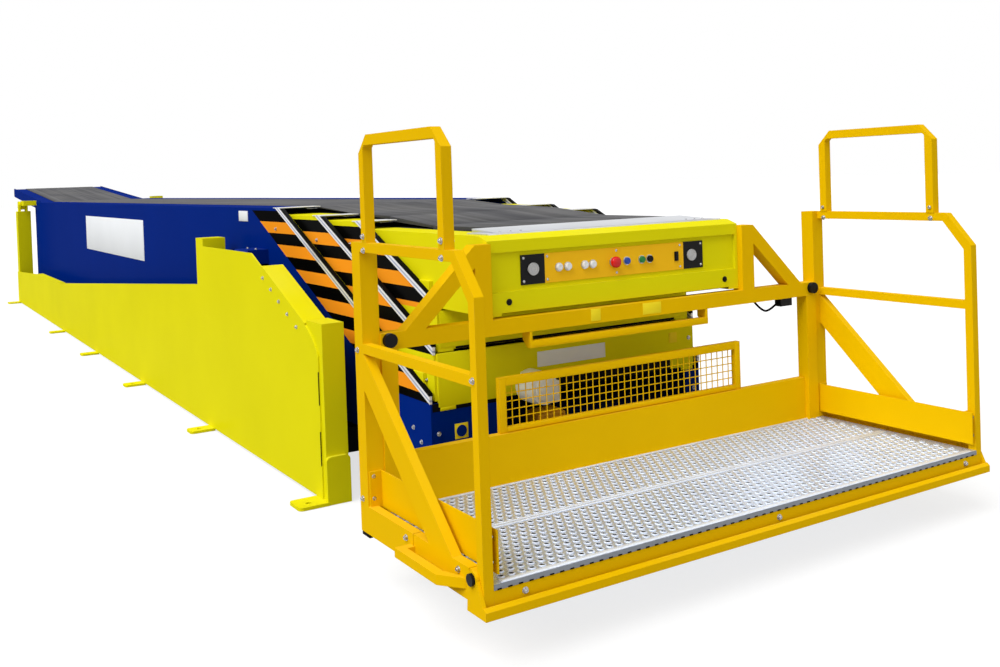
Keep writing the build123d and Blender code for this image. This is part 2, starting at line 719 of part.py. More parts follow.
# Control box with a sloped top lip and a recessed front, open at its rear
recess_height = BOX_LID_Z - BOX_LOWER_Z
recess_z = (BOX_LID_Z + BOX_LOWER_Z) / 2
recess_width = 2 * (BOOM_3.half_width - BOX_CHEEK)
panel_x = BOOM_3.front_x - BOX_RECESS
with BuildPart() as box:
    with BuildSketch(Plane.XZ.offset(-BOOM_3.half_width)):
        with BuildLine():
            Polyline(
                (box_rear, BOOM_3.bottom),
                (BOOM_3.front_x, BOOM_3.bottom),
                (BOOM_3.front_x, BOOM_3.knee),
                (BOOM_3.front_x - BOX_LIP, BOOM_3.top),
                (box_rear, BOOM_3.top),
                close=True,
            )
        make_face()
    extrude(amount=2 * BOOM_3.half_width)
    rear_face = box.faces().sort_by(Axis.X)[0]
    offset(amount=-TUBE_WALL, openings=rear_face)
    with BuildSketch(Plane.YZ.offset(panel_x - TUBE_WALL)):
        with Locations((0, recess_z)):
            Rectangle(recess_width + 2 * TUBE_WALL, recess_height + 2 * TUBE_WALL)
    extrude(amount=BOX_RECESS + TUBE_WALL)
    with BuildSketch(Plane.YZ.offset(panel_x)):
        with Locations((0, recess_z)):
            Rectangle(recess_width, recess_height)
    extrude(amount=BOX_RECESS, mode=Mode.SUBTRACT)
    with BuildSketch(Plane.YZ.offset(BOOM_3.front_x - BOX_LIP)):
        with Locations((0, BOOM_3.bottom)):
            Rectangle(
                2 * (BOOM_3.half_width - BOX_NOTCH_INSET), BOX_NOTCH, align=(Align.CENTER, Align.MIN)
            )
    extrude(amount=BOX_LIP, mode=Mode.SUBTRACT)
save(box, "control_box")

with BuildPart() as panel:
    with BuildSketch(Plane.YZ.offset(panel_x)):
        with Locations((PANEL_Y, PANEL_Z)):
            Rectangle(PANEL_WIDTH, PANEL_HEIGHT)
    extrude(amount=PANEL_THICKNESS)
save(panel, "control_panel")

lamp_out = PANEL_WIDTH / 2 + LAMP_SIZE / 2
lamp_places = [(PANEL_Y - lamp_out, PANEL_Z), (PANEL_Y + lamp_out, PANEL_Z)]
with BuildPart() as lamps:
    with BuildSketch(Plane.YZ.offset(panel_x)):
        with Locations(*lamp_places):
            Rectangle(LAMP_SIZE, PANEL_HEIGHT)
    extrude(amount=PANEL_THICKNESS)
    with BuildSketch(Plane.YZ.offset(panel_x + PANEL_THICKNESS)):
        with Locations(*lamp_places):
            Circle(LAMP_R)
    extrude(amount=PANEL_THICKNESS)
save(lamps, "control_lamps")

button_x = panel_x + PANEL_THICKNESS
with BuildPart() as buttons:
    for control in CONTROLS:
        with BuildSketch(Plane.YZ.offset(button_x)):
            with Locations((control.y, PANEL_Z)):
                Circle(BUTTON_R)
        extrude(amount=control.reach)
save(buttons, "control_buttons")

with BuildPart() as estop:
    with BuildSketch(Plane.YZ.offset(button_x)):
        with Locations((ESTOP_Y, PANEL_Z)):
            Circle(BUTTON_R)
    extrude(amount=ESTOP_R)
    with BuildSketch(Plane.YZ.offset(button_x + ESTOP_R / 2)):
        with Locations((ESTOP_Y, PANEL_Z)):
            Circle(ESTOP_R)
    extrude(amount=ESTOP_R)
save(estop, "emergency_stop")

# Hanger: cross beam under the control box, with uprights and braces beside it
beam_front_x = platform_rear_x + BEAM_FRONT
beam_rear_x = beam_front_x - BEAM_HEIGHT
upright_y = BOOM_3.half_width + SEAT_GAP
brace_foot_y = inner_guard - BRACE_FOOT_SETBACK
with BuildPart() as beam:
    with BuildSketch(Plane.YZ.offset(beam_rear_x)):
        with Locations((0, BEAM_TOP)):
            Rectangle(2 * inner_guard, BEAM_HEIGHT, align=(Align.CENTER, Align.MAX))
        with Locations((-upright_y, BEAM_TOP)):
            Rectangle(UPRIGHT_WIDTH, UPRIGHT_TOP - BEAM_TOP, align=(Align.MAX, Align.MIN))
        with BuildLine():
            Polyline(
                (-upright_y - UPRIGHT_WIDTH, UPRIGHT_TOP),
                (-upright_y - UPRIGHT_WIDTH, UPRIGHT_TOP - BRACE_CUT),
                (-brace_foot_y + BRACE_CUT, BEAM_TOP),
                (-brace_foot_y, BEAM_TOP),
                close=True,
            )
        make_face()
        mirror(about=Plane.YZ)
    extrude(amount=BEAM_HEIGHT)
save(beam, "hanger_beam")

# Posts that carry the platform from the beam's ends, with their pin caps
hanger_y = inner_guard - HANGER_WIDTH / 2
with BuildPart() as hanger:
    with BuildSketch(Plane.XY.offset(FLOOR_TOP)):
        with Locations((beam_rear_x + BEAM_HEIGHT / 2, -hanger_y)):
            Rectangle(BEAM_HEIGHT, HANGER_WIDTH)
            offset(amount=-TUBE_WALL, kind=Kind.INTERSECTION, mode=Mode.SUBTRACT)
    extrude(amount=BEAM_TOP - BEAM_HEIGHT - FLOOR_TOP)
save_both(hanger, "hanger_posts")

with BuildPart() as caps:
    with BuildSketch(Plane.YZ.offset(beam_front_x)):
        with Locations((-hanger_y, CAP_Z)):
            Circle(CAP_R)
    extrude(amount=CAP_LENGTH)

# Back board: a sheet with its top edge folded back, and the wire guard standing on the fold
board_half = inner_guard - HANGER_WIDTH
with BuildPart() as board:
    with BuildSketch(Plane.XZ.offset(-board_half)):
        with Locations((beam_rear_x + BOARD_DEPTH, FLOOR_TOP)):
            Rectangle(SHEET, BOARD_TOP - FLOOR_TOP, align=(Align.MAX, Align.MIN))
        with Locations((beam_rear_x, BOARD_TOP)):
            Rectangle(BOARD_DEPTH, SHEET, align=(Align.MIN, Align.MAX))
    extrude(amount=2 * board_half)
save(board, "back_board")

mesh_height = MESH_TOP - BOARD_TOP
mesh_middle = (MESH_Y, BOARD_TOP + mesh_height / 2)
mesh_inner = 2 * (MESH_HALF_WIDTH - MESH_FRAME)
with BuildPart() as mesh:
    with BuildSketch(Plane.YZ.offset(beam_rear_x)):
        with Locations(mesh_middle):
            Rectangle(2 * MESH_HALF_WIDTH, mesh_height)
            Rectangle(mesh_inner, mesh_height - 2 * MESH_FRAME, mode=Mode.SUBTRACT)
    extrude(amount=MESH_THICKNESS)
    column_pitch = mesh_inner / (MESH_COLUMNS + 1)
    row_pitch = (mesh_height - 2 * MESH_FRAME) / (MESH_ROWS + 1)
    with BuildSketch(Plane.YZ.offset(beam_rear_x + MESH_THICKNESS / 2 - MESH_WIRE / 2)):
        with Locations(mesh_middle):
            with GridLocations(column_pitch, 0, MESH_COLUMNS, 1):
                Rectangle(MESH_WIRE, mesh_height - MESH_FRAME)
            with GridLocations(0, row_pitch, 1, MESH_ROWS):
                Rectangle(2 * MESH_HALF_WIDTH - MESH_FRAME, MESH_WIRE)
    extrude(amount=MESH_WIRE)
save(mesh, "mesh_guard")

with BuildPart() as grab_bar:
    with BuildSketch(Plane.YZ.offset(beam_front_x)):
        with Locations(((GRAB_RIGHT_Y + GRAB_LEFT_Y) / 2, GRAB_Z)):
            Rectangle(GRAB_LEFT_Y - GRAB_RIGHT_Y + GRAB_SIZE, GRAB_SIZE)
        with Locations((GRAB_RIGHT_Y, GRAB_Z), (GRAB_LEFT_Y, GRAB_Z)):
            Rectangle(GRAB_SIZE, BEAM_TOP - GRAB_Z - GRAB_SIZE / 2, align=(Align.CENTER, Align.MIN))
    extrude(amount=GRAB_SIZE)
save(grab_bar, "grab_bar")

# Platform floor: a folded frame under two perforated planks, both cut out round the rear posts
floor_x = platform_rear_x + PLATFORM_DEPTH / 2
floor_corners = [(platform_rear_x, -rail_inside), (platform_rear_x, rail_inside)]
with BuildPart() as floor_frame:
    with BuildSketch(Plane.XY.offset(PLATFORM_BOTTOM)):
        with Locations((floor_x, 0)):
            Rectangle(PLATFORM_DEPTH, 2 * rail_inside)
            Rectangle(
                PLATFORM_DEPTH - 2 * FRAME_RAIL, 2 * (inner_guard - FRAME_RAIL), mode=Mode.SUBTRACT
            )
        with Locations(*floor_corners):
            Rectangle(2 * REAR_POST_SIZE, 2 * (rail_inside - inner_guard), mode=Mode.SUBTRACT)
    extrude(amount=FLOOR_TOP - FLOOR_THICKNESS - PLATFORM_BOTTOM)
save(floor_frame, "floor_frame")

plank_width = (PLATFORM_DEPTH - (PLANK_COUNT - 1) * PLANK_GAP) / PLANK_COUNT
with BuildPart() as planks:
    with BuildSketch(Plane.XY.offset(FLOOR_TOP - FLOOR_THICKNESS)):
        with Locations((floor_x, 0)):
            with GridLocations(plank_width + PLANK_GAP, 0, PLANK_COUNT, 1):
                Rectangle(plank_width, 2 * rail_inside)
        with Locations(*floor_corners):
            Rectangle(2 * REAR_POST_SIZE, 2 * (rail_inside - inner_guard), mode=Mode.SUBTRACT)
    extrude(amount=FLOOR_THICKNESS)
save(planks, "floor_planks")

# Side guards: rear post, bent top rail, front post, middle rail, brace, toe plate and side rail
rail_top = PLATFORM_BOTTOM + SIDE_RAIL_HEIGHT
rear_post_x = platform_rear_x + REAR_POST_SIZE
brace_foot_x = platform_rear_x + GUARD_BRACE_FOOT
toe_y = PLATFORM_HALF_WIDTH - TOE_INSET
with BuildPart() as guard:
    with BuildSketch(Plane.XZ.offset(inner_guard)):
        with Locations((platform_rear_x, PLATFORM_BOTTOM)):
            Rectangle(REAR_POST_SIZE, GUARD_TOP - PLATFORM_BOTTOM, align=Align.MIN)
    extrude(amount=REAR_POST_SIZE)
    with BuildSketch(Plane.YZ.offset(platform_rear_x)):
        with Locations((-PLATFORM_HALF_WIDTH, PLATFORM_BOTTOM)):
            Rectangle(RAIL_SIZE, SIDE_RAIL_HEIGHT, align=Align.MIN)
        with Locations((-rail_inside, PLATFORM_BOTTOM + SHEET)):
            Rectangle(
                RAIL_SIZE - SHEET,
                SIDE_RAIL_HEIGHT - 2 * SHEET,
                align=(Align.MAX, Align.MIN),
                mode=Mode.SUBTRACT,
            )
    extrude(amount=PLATFORM_DEPTH)
    with BuildSketch(Plane.XZ.offset(inner_guard)):
        for setback in SLIT_SETBACKS:
            with Locations((platform_front - setback, SLIT_FOOT)):
                Rectangle(SLIT_WIDTH, rail_top - SLIT_FOOT, align=(Align.CENTER, Align.MIN))
    extrude(amount=REAR_POST_SIZE, mode=Mode.SUBTRACT)
    with BuildSketch(Plane.XZ.offset(rail_inside)):
        with BuildLine():
            Polyline(
                (platform_rear_x, GUARD_TOP),
                (platform_front - GUARD_BEND, GUARD_TOP),
                (platform_front, GUARD_FRONT_TOP),
                (platform_front, PLATFORM_BOTTOM),
                (platform_front - RAIL_SIZE, PLATFORM_BOTTOM),
                (platform_front - RAIL_SIZE, GUARD_FRONT_TOP - RAIL_SIZE / 2),
                (platform_front - GUARD_BEND - RAIL_SIZE / 2, GUARD_TOP - RAIL_SIZE),
                (platform_rear_x, GUARD_TOP - RAIL_SIZE),
                close=True,
            )
        make_face()
        with Locations((platform_rear_x, GUARD_MID)):
            Rectangle(PLATFORM_DEPTH, RAIL_SIZE, align=(Align.MIN, Align.CENTER))
        with BuildLine():
            Polyline(
                (rear_post_x, GUARD_BRACE_TOP),
                (brace_foot_x, rail_top),
                (brace_foot_x - GUARD_BRACE_LAP, rail_top),
                (rear_post_x, GUARD_BRACE_TOP - GUARD_BRACE_CUT),
                close=True,
            )
        make_face()
    extrude(amount=RAIL_SIZE)
    with BuildSketch(Plane.XZ.offset(toe_y)):
        with Locations((platform_rear_x, TOE_BOTTOM)):
            Rectangle(PLATFORM_DEPTH, TOE_TOP - TOE_BOTTOM, align=Align.MIN)
    extrude(amount=TOE_THICKNESS)
    for bracket_x in (rear_post_x, platform_front - RAIL_SIZE - SHEET):
        with BuildSketch(Plane.YZ.offset(bracket_x)):
            with Locations((-toe_y, TOE_BOTTOM)):
                Rectangle(TOE_BRACKET, TOE_TOP - TOE_BOTTOM, align=(Align.MAX, Align.MIN))
        extrude(amount=SHEET)
save_pair(guard, "guard")

# Hoops that stand on the top rails
hoop_rear_x = platform_rear_x + HOOP_REAR
hoop_front_x = platform_front - HOOP_FRONT_SETBACK
hoop_size = (hoop_front_x - hoop_rear_x, HOOP_TOP - GUARD_TOP)
with BuildPart() as hoop:
    with BuildSketch(Plane.XZ.offset(PLATFORM_HALF_WIDTH - HOOP_SIZE)):
        with Locations(((hoop_rear_x + hoop_front_x) / 2, GUARD_TOP)):
            Rectangle(*hoop_size, align=(Align.CENTER, Align.MIN))
        chamfer(vertices().group_by(Axis.Y)[-1], length=HOOP_CHAMFER)
        with BuildLine():
            Polyline(
                (hoop_rear_x + HOOP_SIZE, GUARD_TOP),
                (hoop_rear_x + HOOP_SIZE, HOOP_TOP - HOOP_SIZE - HOOP_INNER_CHAMFER),
                (hoop_rear_x + HOOP_SIZE + HOOP_INNER_CHAMFER, HOOP_TOP - HOOP_SIZE),
                (hoop_front_x - HOOP_SIZE - HOOP_INNER_CHAMFER, HOOP_TOP - HOOP_SIZE),
                (hoop_front_x - HOOP_SIZE, HOOP_TOP - HOOP_SIZE - HOOP_INNER_CHAMFER),
                (hoop_front_x - HOOP_SIZE, GUARD_TOP),
                close=True,
            )
        make_face(mode=Mode.SUBTRACT)
    extrude(amount=HOOP_SIZE)
save_both(hoop, "guard_hoops")

# Side bumpers: a bar that stands off each side rail and turns in at its front end
bumper_out = PLATFORM_HALF_WIDTH + BUMPER_REACH
bumper_rear_x = platform_front - BUMPER_REAR_SETBACK
bumper_bend_x = platform_front - BUMPER_BEND_SETBACK
bumper_front_x = platform_front - BUMPER_FRONT_SETBACK
with BuildPart() as bumper:
    with BuildSketch(Plane.XY.offset(BUMPER_Z)):
        with BuildLine():
            Polyline(
                (bumper_rear_x, -PLATFORM_HALF_WIDTH),
                (bumper_rear_x, -bumper_out),
                (bumper_bend_x, -bumper_out),
                (bumper_front_x, -PLATFORM_HALF_WIDTH),
                (bumper_front_x - BUMPER_SIZE, -PLATFORM_HALF_WIDTH),
                (bumper_bend_x - BUMPER_SIZE / 2, -bumper_out + BUMPER_SIZE),
                (bumper_rear_x + BUMPER_SIZE, -bumper_out + BUMPER_SIZE),
                (bumper_rear_x + BUMPER_SIZE, -PLATFORM_HALF_WIDTH),
                close=True,
            )
        make_face()
    extrude(amount=BUMPER_SIZE)
save_both(bumper, "side_bumpers")

# Safety bar across the platform's front, hung from a pin at each end
arm_inside = PLATFORM_HALF_WIDTH + SEAT_GAP
bar_half = arm_inside + BAR_ARM_THICKNESS
bar_front_x = platform_front + BAR_AHEAD
bar_rear_x = bar_front_x - BAR_THICKNESS
bar_pin = (platform_front - BAR_PIN_SETBACK, BAR_PIN_Z)
with BuildPart() as safety_bar:
    with BuildSketch(Plane.XZ.offset(-bar_half)):
        with BuildLine():
            Polyline(
                (bar_rear_x, BAR_BOTTOM),
                (bar_front_x, BAR_BOTTOM),
                (bar_front_x, BAR_TOP - BAR_BEVEL),
                (bar_front_x - BAR_BEVEL, BAR_TOP),
                (bar_rear_x, BAR_TOP),
                close=True,
            )
        make_face()
    extrude(amount=2 * bar_half)
    with BuildSketch(Plane.XZ.offset(arm_inside)):
        with BuildLine():
            Polyline(
                (bar_front_x, BAR_BOTTOM),
                (bar_front_x - BAR_ARM_BOTTOM_WIDTH, BAR_BOTTOM),
                (bar_pin[0] - BAR_ARM_TOP_WIDTH / 2, BAR_PIN_Z),
                (bar_pin[0] + BAR_ARM_TOP_WIDTH / 2, BAR_PIN_Z),
                close=True,
            )
        make_face()
        with Locations(bar_pin):
            Circle(BAR_ARM_TOP_WIDTH / 2)
            Circle(BAR_PIN_R + SEAT_GAP, mode=Mode.SUBTRACT)
    extrude(amount=BAR_ARM_THICKNESS)
    mirror(about=Plane.XZ)
save(safety_bar, "safety_bar")

with BuildPart() as arm_pin:
    with BuildSketch(Plane.XZ.offset(PLATFORM_HALF_WIDTH)):
        with Locations(bar_pin):
            Circle(BAR_PIN_R)
    extrude(amount=BAR_ARM_THICKNESS + 2 * SEAT_GAP)
    with BuildSketch(Plane.XZ.offset(arm_inside + BAR_ARM_THICKNESS + SEAT_GAP)):
        with Locations(bar_pin):
            Circle(BAR_PIN_CAP_R)
    extrude(amount=BAR_PIN_R)
with BuildPart() as pin_caps:
    add(caps.part)
    add(arm_pin.part)
save_both(pin_caps, "pin_caps")

# End sensor on a bracket under the beam's left end, with its short lead
sensor_top = BEAM_TOP - BEAM_HEIGHT
sensor_y = inner_guard - SENSOR_SETBACK
with BuildPart() as sensor:
    with BuildSketch(Plane.XY.offset(sensor_top)):
        with Locations((beam_rear_x + BEAM_HEIGHT / 2, sensor_y)):
            Rectangle(SENSOR_SIZE, 2 * SENSOR_SIZE)
    extrude(amount=-SENSOR_SIZE)
save(sensor, "end_sensor")

lead_y = sensor_y - SENSOR_SIZE
lead_z = sensor_top - SENSOR_SIZE / 2
lead_x = beam_rear_x + BEAM_HEIGHT / 2
with BuildPart() as lead:
    with BuildLine() as lead_path:
        FilletPolyline(
            (lead_x, lead_y, lead_z),
            (lead_x, lead_y - LEAD_RUN, lead_z - LEAD_SAG),
            (lead_x, lead_y - 2 * LEAD_RUN, lead_z - LEAD_SAG),
            (lead_x, lead_y - 3 * LEAD_RUN, sensor_top),
            radius=LEAD_BEND,
        )
    with BuildSketch(Plane(origin=lead_path.line @ 0, z_dir=lead_path.line % 0)):
        Circle(LEAD_R)
    sweep()
    with BuildSketch(Plane.XY.offset(sensor_top)):
        with Locations((lead_x, lead_y)):
            Rectangle(BEAM_HEIGHT, 8 * LEAD_RUN)
    extrude(amount=BEAM_HEIGHT, mode=Mode.SUBTRACT)
    with BuildSketch(Plane.XZ.offset(-lead_y)):
        with Locations((lead_x, lead_z)):
            Rectangle(SENSOR_SIZE, SENSOR_SIZE)
    extrude(amount=-SENSOR_SIZE, mode=Mode.SUBTRACT)
save(lead, "sensor_lead")
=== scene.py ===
"""Telescopic boom conveyor: finishes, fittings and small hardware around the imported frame.

Lengths are in metres. A step is the width of a rim and how far the part inside it moves out, and a field
that ends in round is the width of rounded edges.
"""
import logging
import math
from dataclasses import dataclass
from enum import Enum
from typing import Callable, Iterable, Sequence

import bpy
from mathutils import Matrix, Vector


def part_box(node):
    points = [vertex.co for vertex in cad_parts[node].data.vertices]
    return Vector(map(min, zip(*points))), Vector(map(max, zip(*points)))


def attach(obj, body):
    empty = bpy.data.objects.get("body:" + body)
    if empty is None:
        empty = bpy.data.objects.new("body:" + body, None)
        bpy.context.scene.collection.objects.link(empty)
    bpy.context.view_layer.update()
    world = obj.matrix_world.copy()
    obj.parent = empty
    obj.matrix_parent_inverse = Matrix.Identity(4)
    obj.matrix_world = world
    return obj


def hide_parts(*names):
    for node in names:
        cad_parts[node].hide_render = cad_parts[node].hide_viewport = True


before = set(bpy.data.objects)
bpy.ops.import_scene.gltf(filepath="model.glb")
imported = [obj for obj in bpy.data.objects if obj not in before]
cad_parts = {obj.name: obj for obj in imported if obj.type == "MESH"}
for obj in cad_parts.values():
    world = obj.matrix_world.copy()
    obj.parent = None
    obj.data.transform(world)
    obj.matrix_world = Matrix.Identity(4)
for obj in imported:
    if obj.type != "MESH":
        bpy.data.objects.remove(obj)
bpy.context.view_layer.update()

LOG = logging.getLogger("conveyor")
Colour = tuple[float, float, float]
Place = tuple[float, float, float]
Span = tuple[float, float]
Corners = tuple[Place, Place]
Aim = tuple[Place, Place]
Piece = bpy.types.Object
Socket = bpy.types.NodeSocket
Outputs = bpy.types.NodeOutputs
Test = Callable[[Vector, Vector], bool]

SLOPE = 2.215
KNEES = {"main": (4.833, 0.434), "boom_1": (4.827, 0.596), "boom_2": (4.821, 0.742)}
TOUCH = 1e-5
PLATE_STEP = (0.003, 0.0005)
PLATE_ROUND = 0.0004


class Body(Enum):
    """Moving bodies that carry new pieces."""

    BASE = "base"
    MAIN = "main_boom"
    FIRST = "boom_1"
    SECOND = "boom_2"
    THIRD = "boom_3"


class Facing(Enum):
    """Directions that a fastener or plate faces."""

    FRONT = (1.0, 0.0, 0.0)
    LEFT = (0.0, 1.0, 0.0)
    RIGHT = (0.0, -1.0, 0.0)
    UP = (0.0, 0.0, 1.0)


SIDES = (Facing.RIGHT, Facing.LEFT)


def linear(colour: Colour) -> tuple[float, float, float, float]:
    """Converts a display colour to the scene's linear colour, with an opacity of 1."""
    red, green, blue = (c / 12.92 if c <= 0.04045 else ((c + 0.055) / 1.055) ** 2.4 for c in colour)
    return (red, green, blue, 1.0)


class Graph:
    """A node tree and the short calls that fill it."""

    def __init__(self, tree: bpy.types.NodeTree) -> None:
        """Keeps the tree that the calls fill."""
        self.tree = tree

    def feed(self, node: bpy.types.Node, values: dict) -> None:
        """Sets or links a node's inputs.

        Args:
            node: The node.
            values: Input name or number to a constant or an output socket.
        """
        for key, value in values.items():
            if isinstance(value, Socket):
                self.tree.links.new(value, node.inputs[key])
            else:
                node.inputs[key].default_value = value

    def add(self, kind: str, values: dict | None = None, **settings: object) -> bpy.types.Node:
        """Adds a node, sets its properties, and sets or links its inputs.

        Args:
            kind: Node type without the ShaderNode prefix.
            values: Input name or number to a constant or an output socket.
            **settings: Properties of the node itself.

        Returns:
            The new node.
        """
        node = self.tree.nodes.new(kind if kind.startswith("NodeGroup") else f"ShaderNode{kind}")
        for key, setting in settings.items():
            setattr(node, key, setting)
        self.feed(node, values or {})
        return node

    def math(self, operation: str, *values: object) -> Socket:
        """Adds one arithmetic step and returns its result."""
        return self.add("Math", dict(enumerate(values)), operation=operation).outputs[0]

    def chain(self, operation: str, first: object, *others: object) -> Socket:
        """Joins several values by one operation.

        Args:
            operation: The operation.
            first: The first value.
            *others: The other values.

        Returns:
            The result.
        """
        for other in others:
            first = self.math(operation, first, other)
        return first

    def mix(self, factor: object, a: object, b: object) -> Socket:
        """Adds a colour mix and returns its result."""
        return self.add("Mix", {0: factor, 6: a, 7: b}, data_type="RGBA").outputs[2]

    def ramp(self, value: object, low: float, high: float, *results: float) -> Socket:
        """Adds a clamped range change, to 0 and 1 or to two results, and returns its result."""
        limits = (value, low, high, *(results or (0.0, 1.0)))
        return self.add("MapRange", dict(enumerate(limits))).outputs[0]

    def noise(self, scale: float, detail: float, stretch: Place = (1.0, 1.0, 1.0)) -> Socket:
        """Adds noise on Object coordinates.

        Args:
            scale: Its fineness.
            detail: Its octaves.
            stretch: Its fineness along each axis.

        Returns:
            The noise value.
        """
        point = self.add("TexCoord").outputs["Object"]
        mapped = self.add("Mapping", {"Vector": point, "Scale": stretch}).outputs[0]
        return self.add("TexNoise", {"Vector": mapped, "Scale": scale, "Detail": detail}).outputs[0]

    def axes(self, coordinate: str) -> Outputs:
        """Returns X, Y and Z of a texture coordinate."""
        return self.add("SeparateXYZ", {0: self.add("TexCoord").outputs[coordinate]}).outputs

    def seen(self, *rays: str) -> Socket:
        """Returns 1 on the named kinds of ray and 0 on others."""
        path = self.add("LightPath").outputs
        return self.chain("MAXIMUM", *(path[f"Is {ray} Ray"] for ray in rays))

    def bump(self, height: Socket, depth: float, normal: Socket | None = None) -> Socket:
        """Adds a fine relief and returns its normal.

        Args:
            height: Relief value, 0 to 1.
            depth: Relief in metres.
            normal: The softened normal that the relief sits on, if any.

        Returns:
            The normal.
        """
        under = {} if normal is None else {"Normal": normal}
        return self.add("Bump", {"Height": height, "Distance": depth, "Strength": 1.0, **under}).outputs[0]

    def group(self, effect: "Effect", **values: object) -> Outputs:
        """Places a shared effect, sets its inputs and returns its outputs."""
        return self.add("Group", values, node_tree=EFFECTS.tree(effect)).outputs


class Effect(Enum):
    """Surface effects that several finishes share, each with its input sockets."""

    COAT = ("paint_coat", "Colour", "Drift", "Gloss")
    EDGES = ("worn_edges", "Colour", "Bare", "Width", "Amount")
    DUST = ("settled_dust", "Colour", "Dust", "Amount")
    BRUSHED = ("brushed_metal", "Colour", "Stretch", "Gloss")
    SLANT = ("slanted_front", "KneeX", "KneeZ", "Slope")
    HAZARD = (
        "hazard_band", "Colour", "Orange", "Black", "Ahead", "Height", "Rear", "Front", "Top", "Bottom", "Pitch"
    )


class EffectLibrary:
    """Builds each shared effect once, when a finish first asks for it.

    Each effect's method takes the group's graph and its input sockets, and returns its outputs by name.
    """

    KINDS = {
        **dict.fromkeys(("Colour", "Bare", "Dust", "Orange", "Black"), "Color"),
        **dict.fromkeys(("Stretch", "Normal"), "Vector"),
    }

    def __init__(self) -> None:
        """Starts with no effect built."""
        self.trees: dict[Effect, bpy.types.NodeTree] = {}

    def tree(self, effect: Effect) -> bpy.types.NodeTree:
        """Returns the node group of an effect, built on first use.

        Args:
            effect: The effect.

        Returns:
            Its node group.
        """
        if effect not in self.trees:
            name, *inputs = effect.value
            tree = self.trees[effect] = bpy.data.node_groups.new(name, "ShaderNodeTree")
            self.open_sockets(tree, "INPUT", inputs)
            graph = Graph(tree)
            results = getattr(self, name)(graph, graph.add("NodeGroupInput").outputs)
            self.open_sockets(tree, "OUTPUT", results)
            graph.add("NodeGroupOutput", results)
        return self.trees[effect]

    def open_sockets(self, tree: bpy.types.NodeTree, way: str, labels: Iterable[str]) -> None:
        """Gives a group its sockets; those without a kind of their own hold numbers.

        Args:
            tree: The group.
            way: INPUT or OUTPUT.
            labels: The sockets' names.
        """
        for label in labels:
            kind = self.KINDS.get(label, "Float")
            tree.interface.new_socket(label, in_out=way, socket_type=f"NodeSocket{kind}")

    def paint_coat(self, graph: Graph, into: Outputs) -> dict[str, Socket]:
        """Sprayed paint: a slow drift of tone, a cloudy gloss and fine orange peel."""
        drift = graph.ramp(graph.noise(1.7, 3.0), 0.3, 0.7, -1.0, 1.0)
        tone = graph.math("MULTIPLY_ADD", drift, into["Drift"], 1.0)
        cloud = graph.ramp(graph.noise(9.0, 4.0), 0.35, 0.7, -0.05, 0.09)
        return {
            "Colour": graph.add("HueSaturation", {"Value": tone, "Color": into["Colour"]}).outputs[0],
            "Roughness": graph.math("ADD", into["Gloss"], cloud),
            "Height": graph.noise(420.0, 1.0),
        }

    def worn_edges(self, graph: Graph, into: Outputs) -> dict[str, Socket]:
        """Softened edges, with the finish rubbed through here and there along them."""
        soft = graph.add("Bevel", {"Radius": into["Width"]}, samples=4).outputs[0]
        flat = graph.add("NewGeometry").outputs["Normal"]
        level = graph.add("VectorMath", {0: soft, 1: flat}, operation="DOT_PRODUCT").outputs["Value"]
        broken = graph.ramp(graph.noise(38.0, 5.0), 0.5, 0.66)
        mask = graph.chain("MULTIPLY", graph.ramp(level, 0.99, 0.86), broken, into["Amount"])
        return {"Colour": graph.mix(mask, into["Colour"], into["Bare"]), "Normal": soft}

    def settled_dust(self, graph: Graph, into: Outputs) -> dict[str, Socket]:
        """Pale dust on faces that look up, in soft patches."""
        normal = graph.add("NewGeometry").outputs["Normal"]
        upward = graph.ramp(graph.add("SeparateXYZ", {0: normal}).outputs["Z"], 0.6, 0.98)
        patches = graph.ramp(graph.noise(3.2, 5.0), 0.38, 0.75)
        mask = graph.chain("MULTIPLY", upward, patches, into["Amount"])
        return {"Colour": graph.mix(mask, into["Colour"], into["Dust"])}

    def brushed_metal(self, graph: Graph, into: Outputs) -> dict[str, Socket]:
        """Rolled or brushed metal: fine lines along one axis and faint cloudy stains."""
        point = graph.add("TexCoord").outputs["Object"]
        along = graph.add("VectorMath", {0: point, 1: into["Stretch"]}, operation="MULTIPLY").outputs[0]
        lines = graph.add("TexNoise", {"Vector": along, "Scale": 1.0, "Detail": 3.0}).outputs[0]
        stain = graph.ramp(graph.noise(6.0, 4.0), 0.3, 0.7, -0.05, 0.03)
        tone = graph.math("ADD", graph.ramp(lines, 0.25, 0.75, 0.9, 1.06), stain)
        return {
            "Colour": graph.add("HueSaturation", {"Value": tone, "Color": into["Colour"]}).outputs[0],
            "Roughness": graph.math("ADD", into["Gloss"], graph.ramp(lines, 0.2, 0.8, -0.06, 0.1)),
            "Height": lines,
        }

    def slanted_front(self, graph: Graph, into: Outputs) -> dict[str, Socket]:
        """Distance ahead of a section's slanted front edge, negative behind it, and the height."""
        point = graph.axes("Object")
        run = graph.math("SUBTRACT", point["X"], into["KneeX"])
        rise = graph.math("SUBTRACT", point["Z"], into["KneeZ"])
        level = graph.math("ADD", run, graph.math("MULTIPLY", rise, into["Slope"]))
        square = graph.math("MULTIPLY", into["Slope"], into["Slope"])
        length = graph.math("SQRT", graph.math("ADD", square, 1.0))
        return {"Ahead": graph.math("DIVIDE", level, length), "Height": point["Z"]}

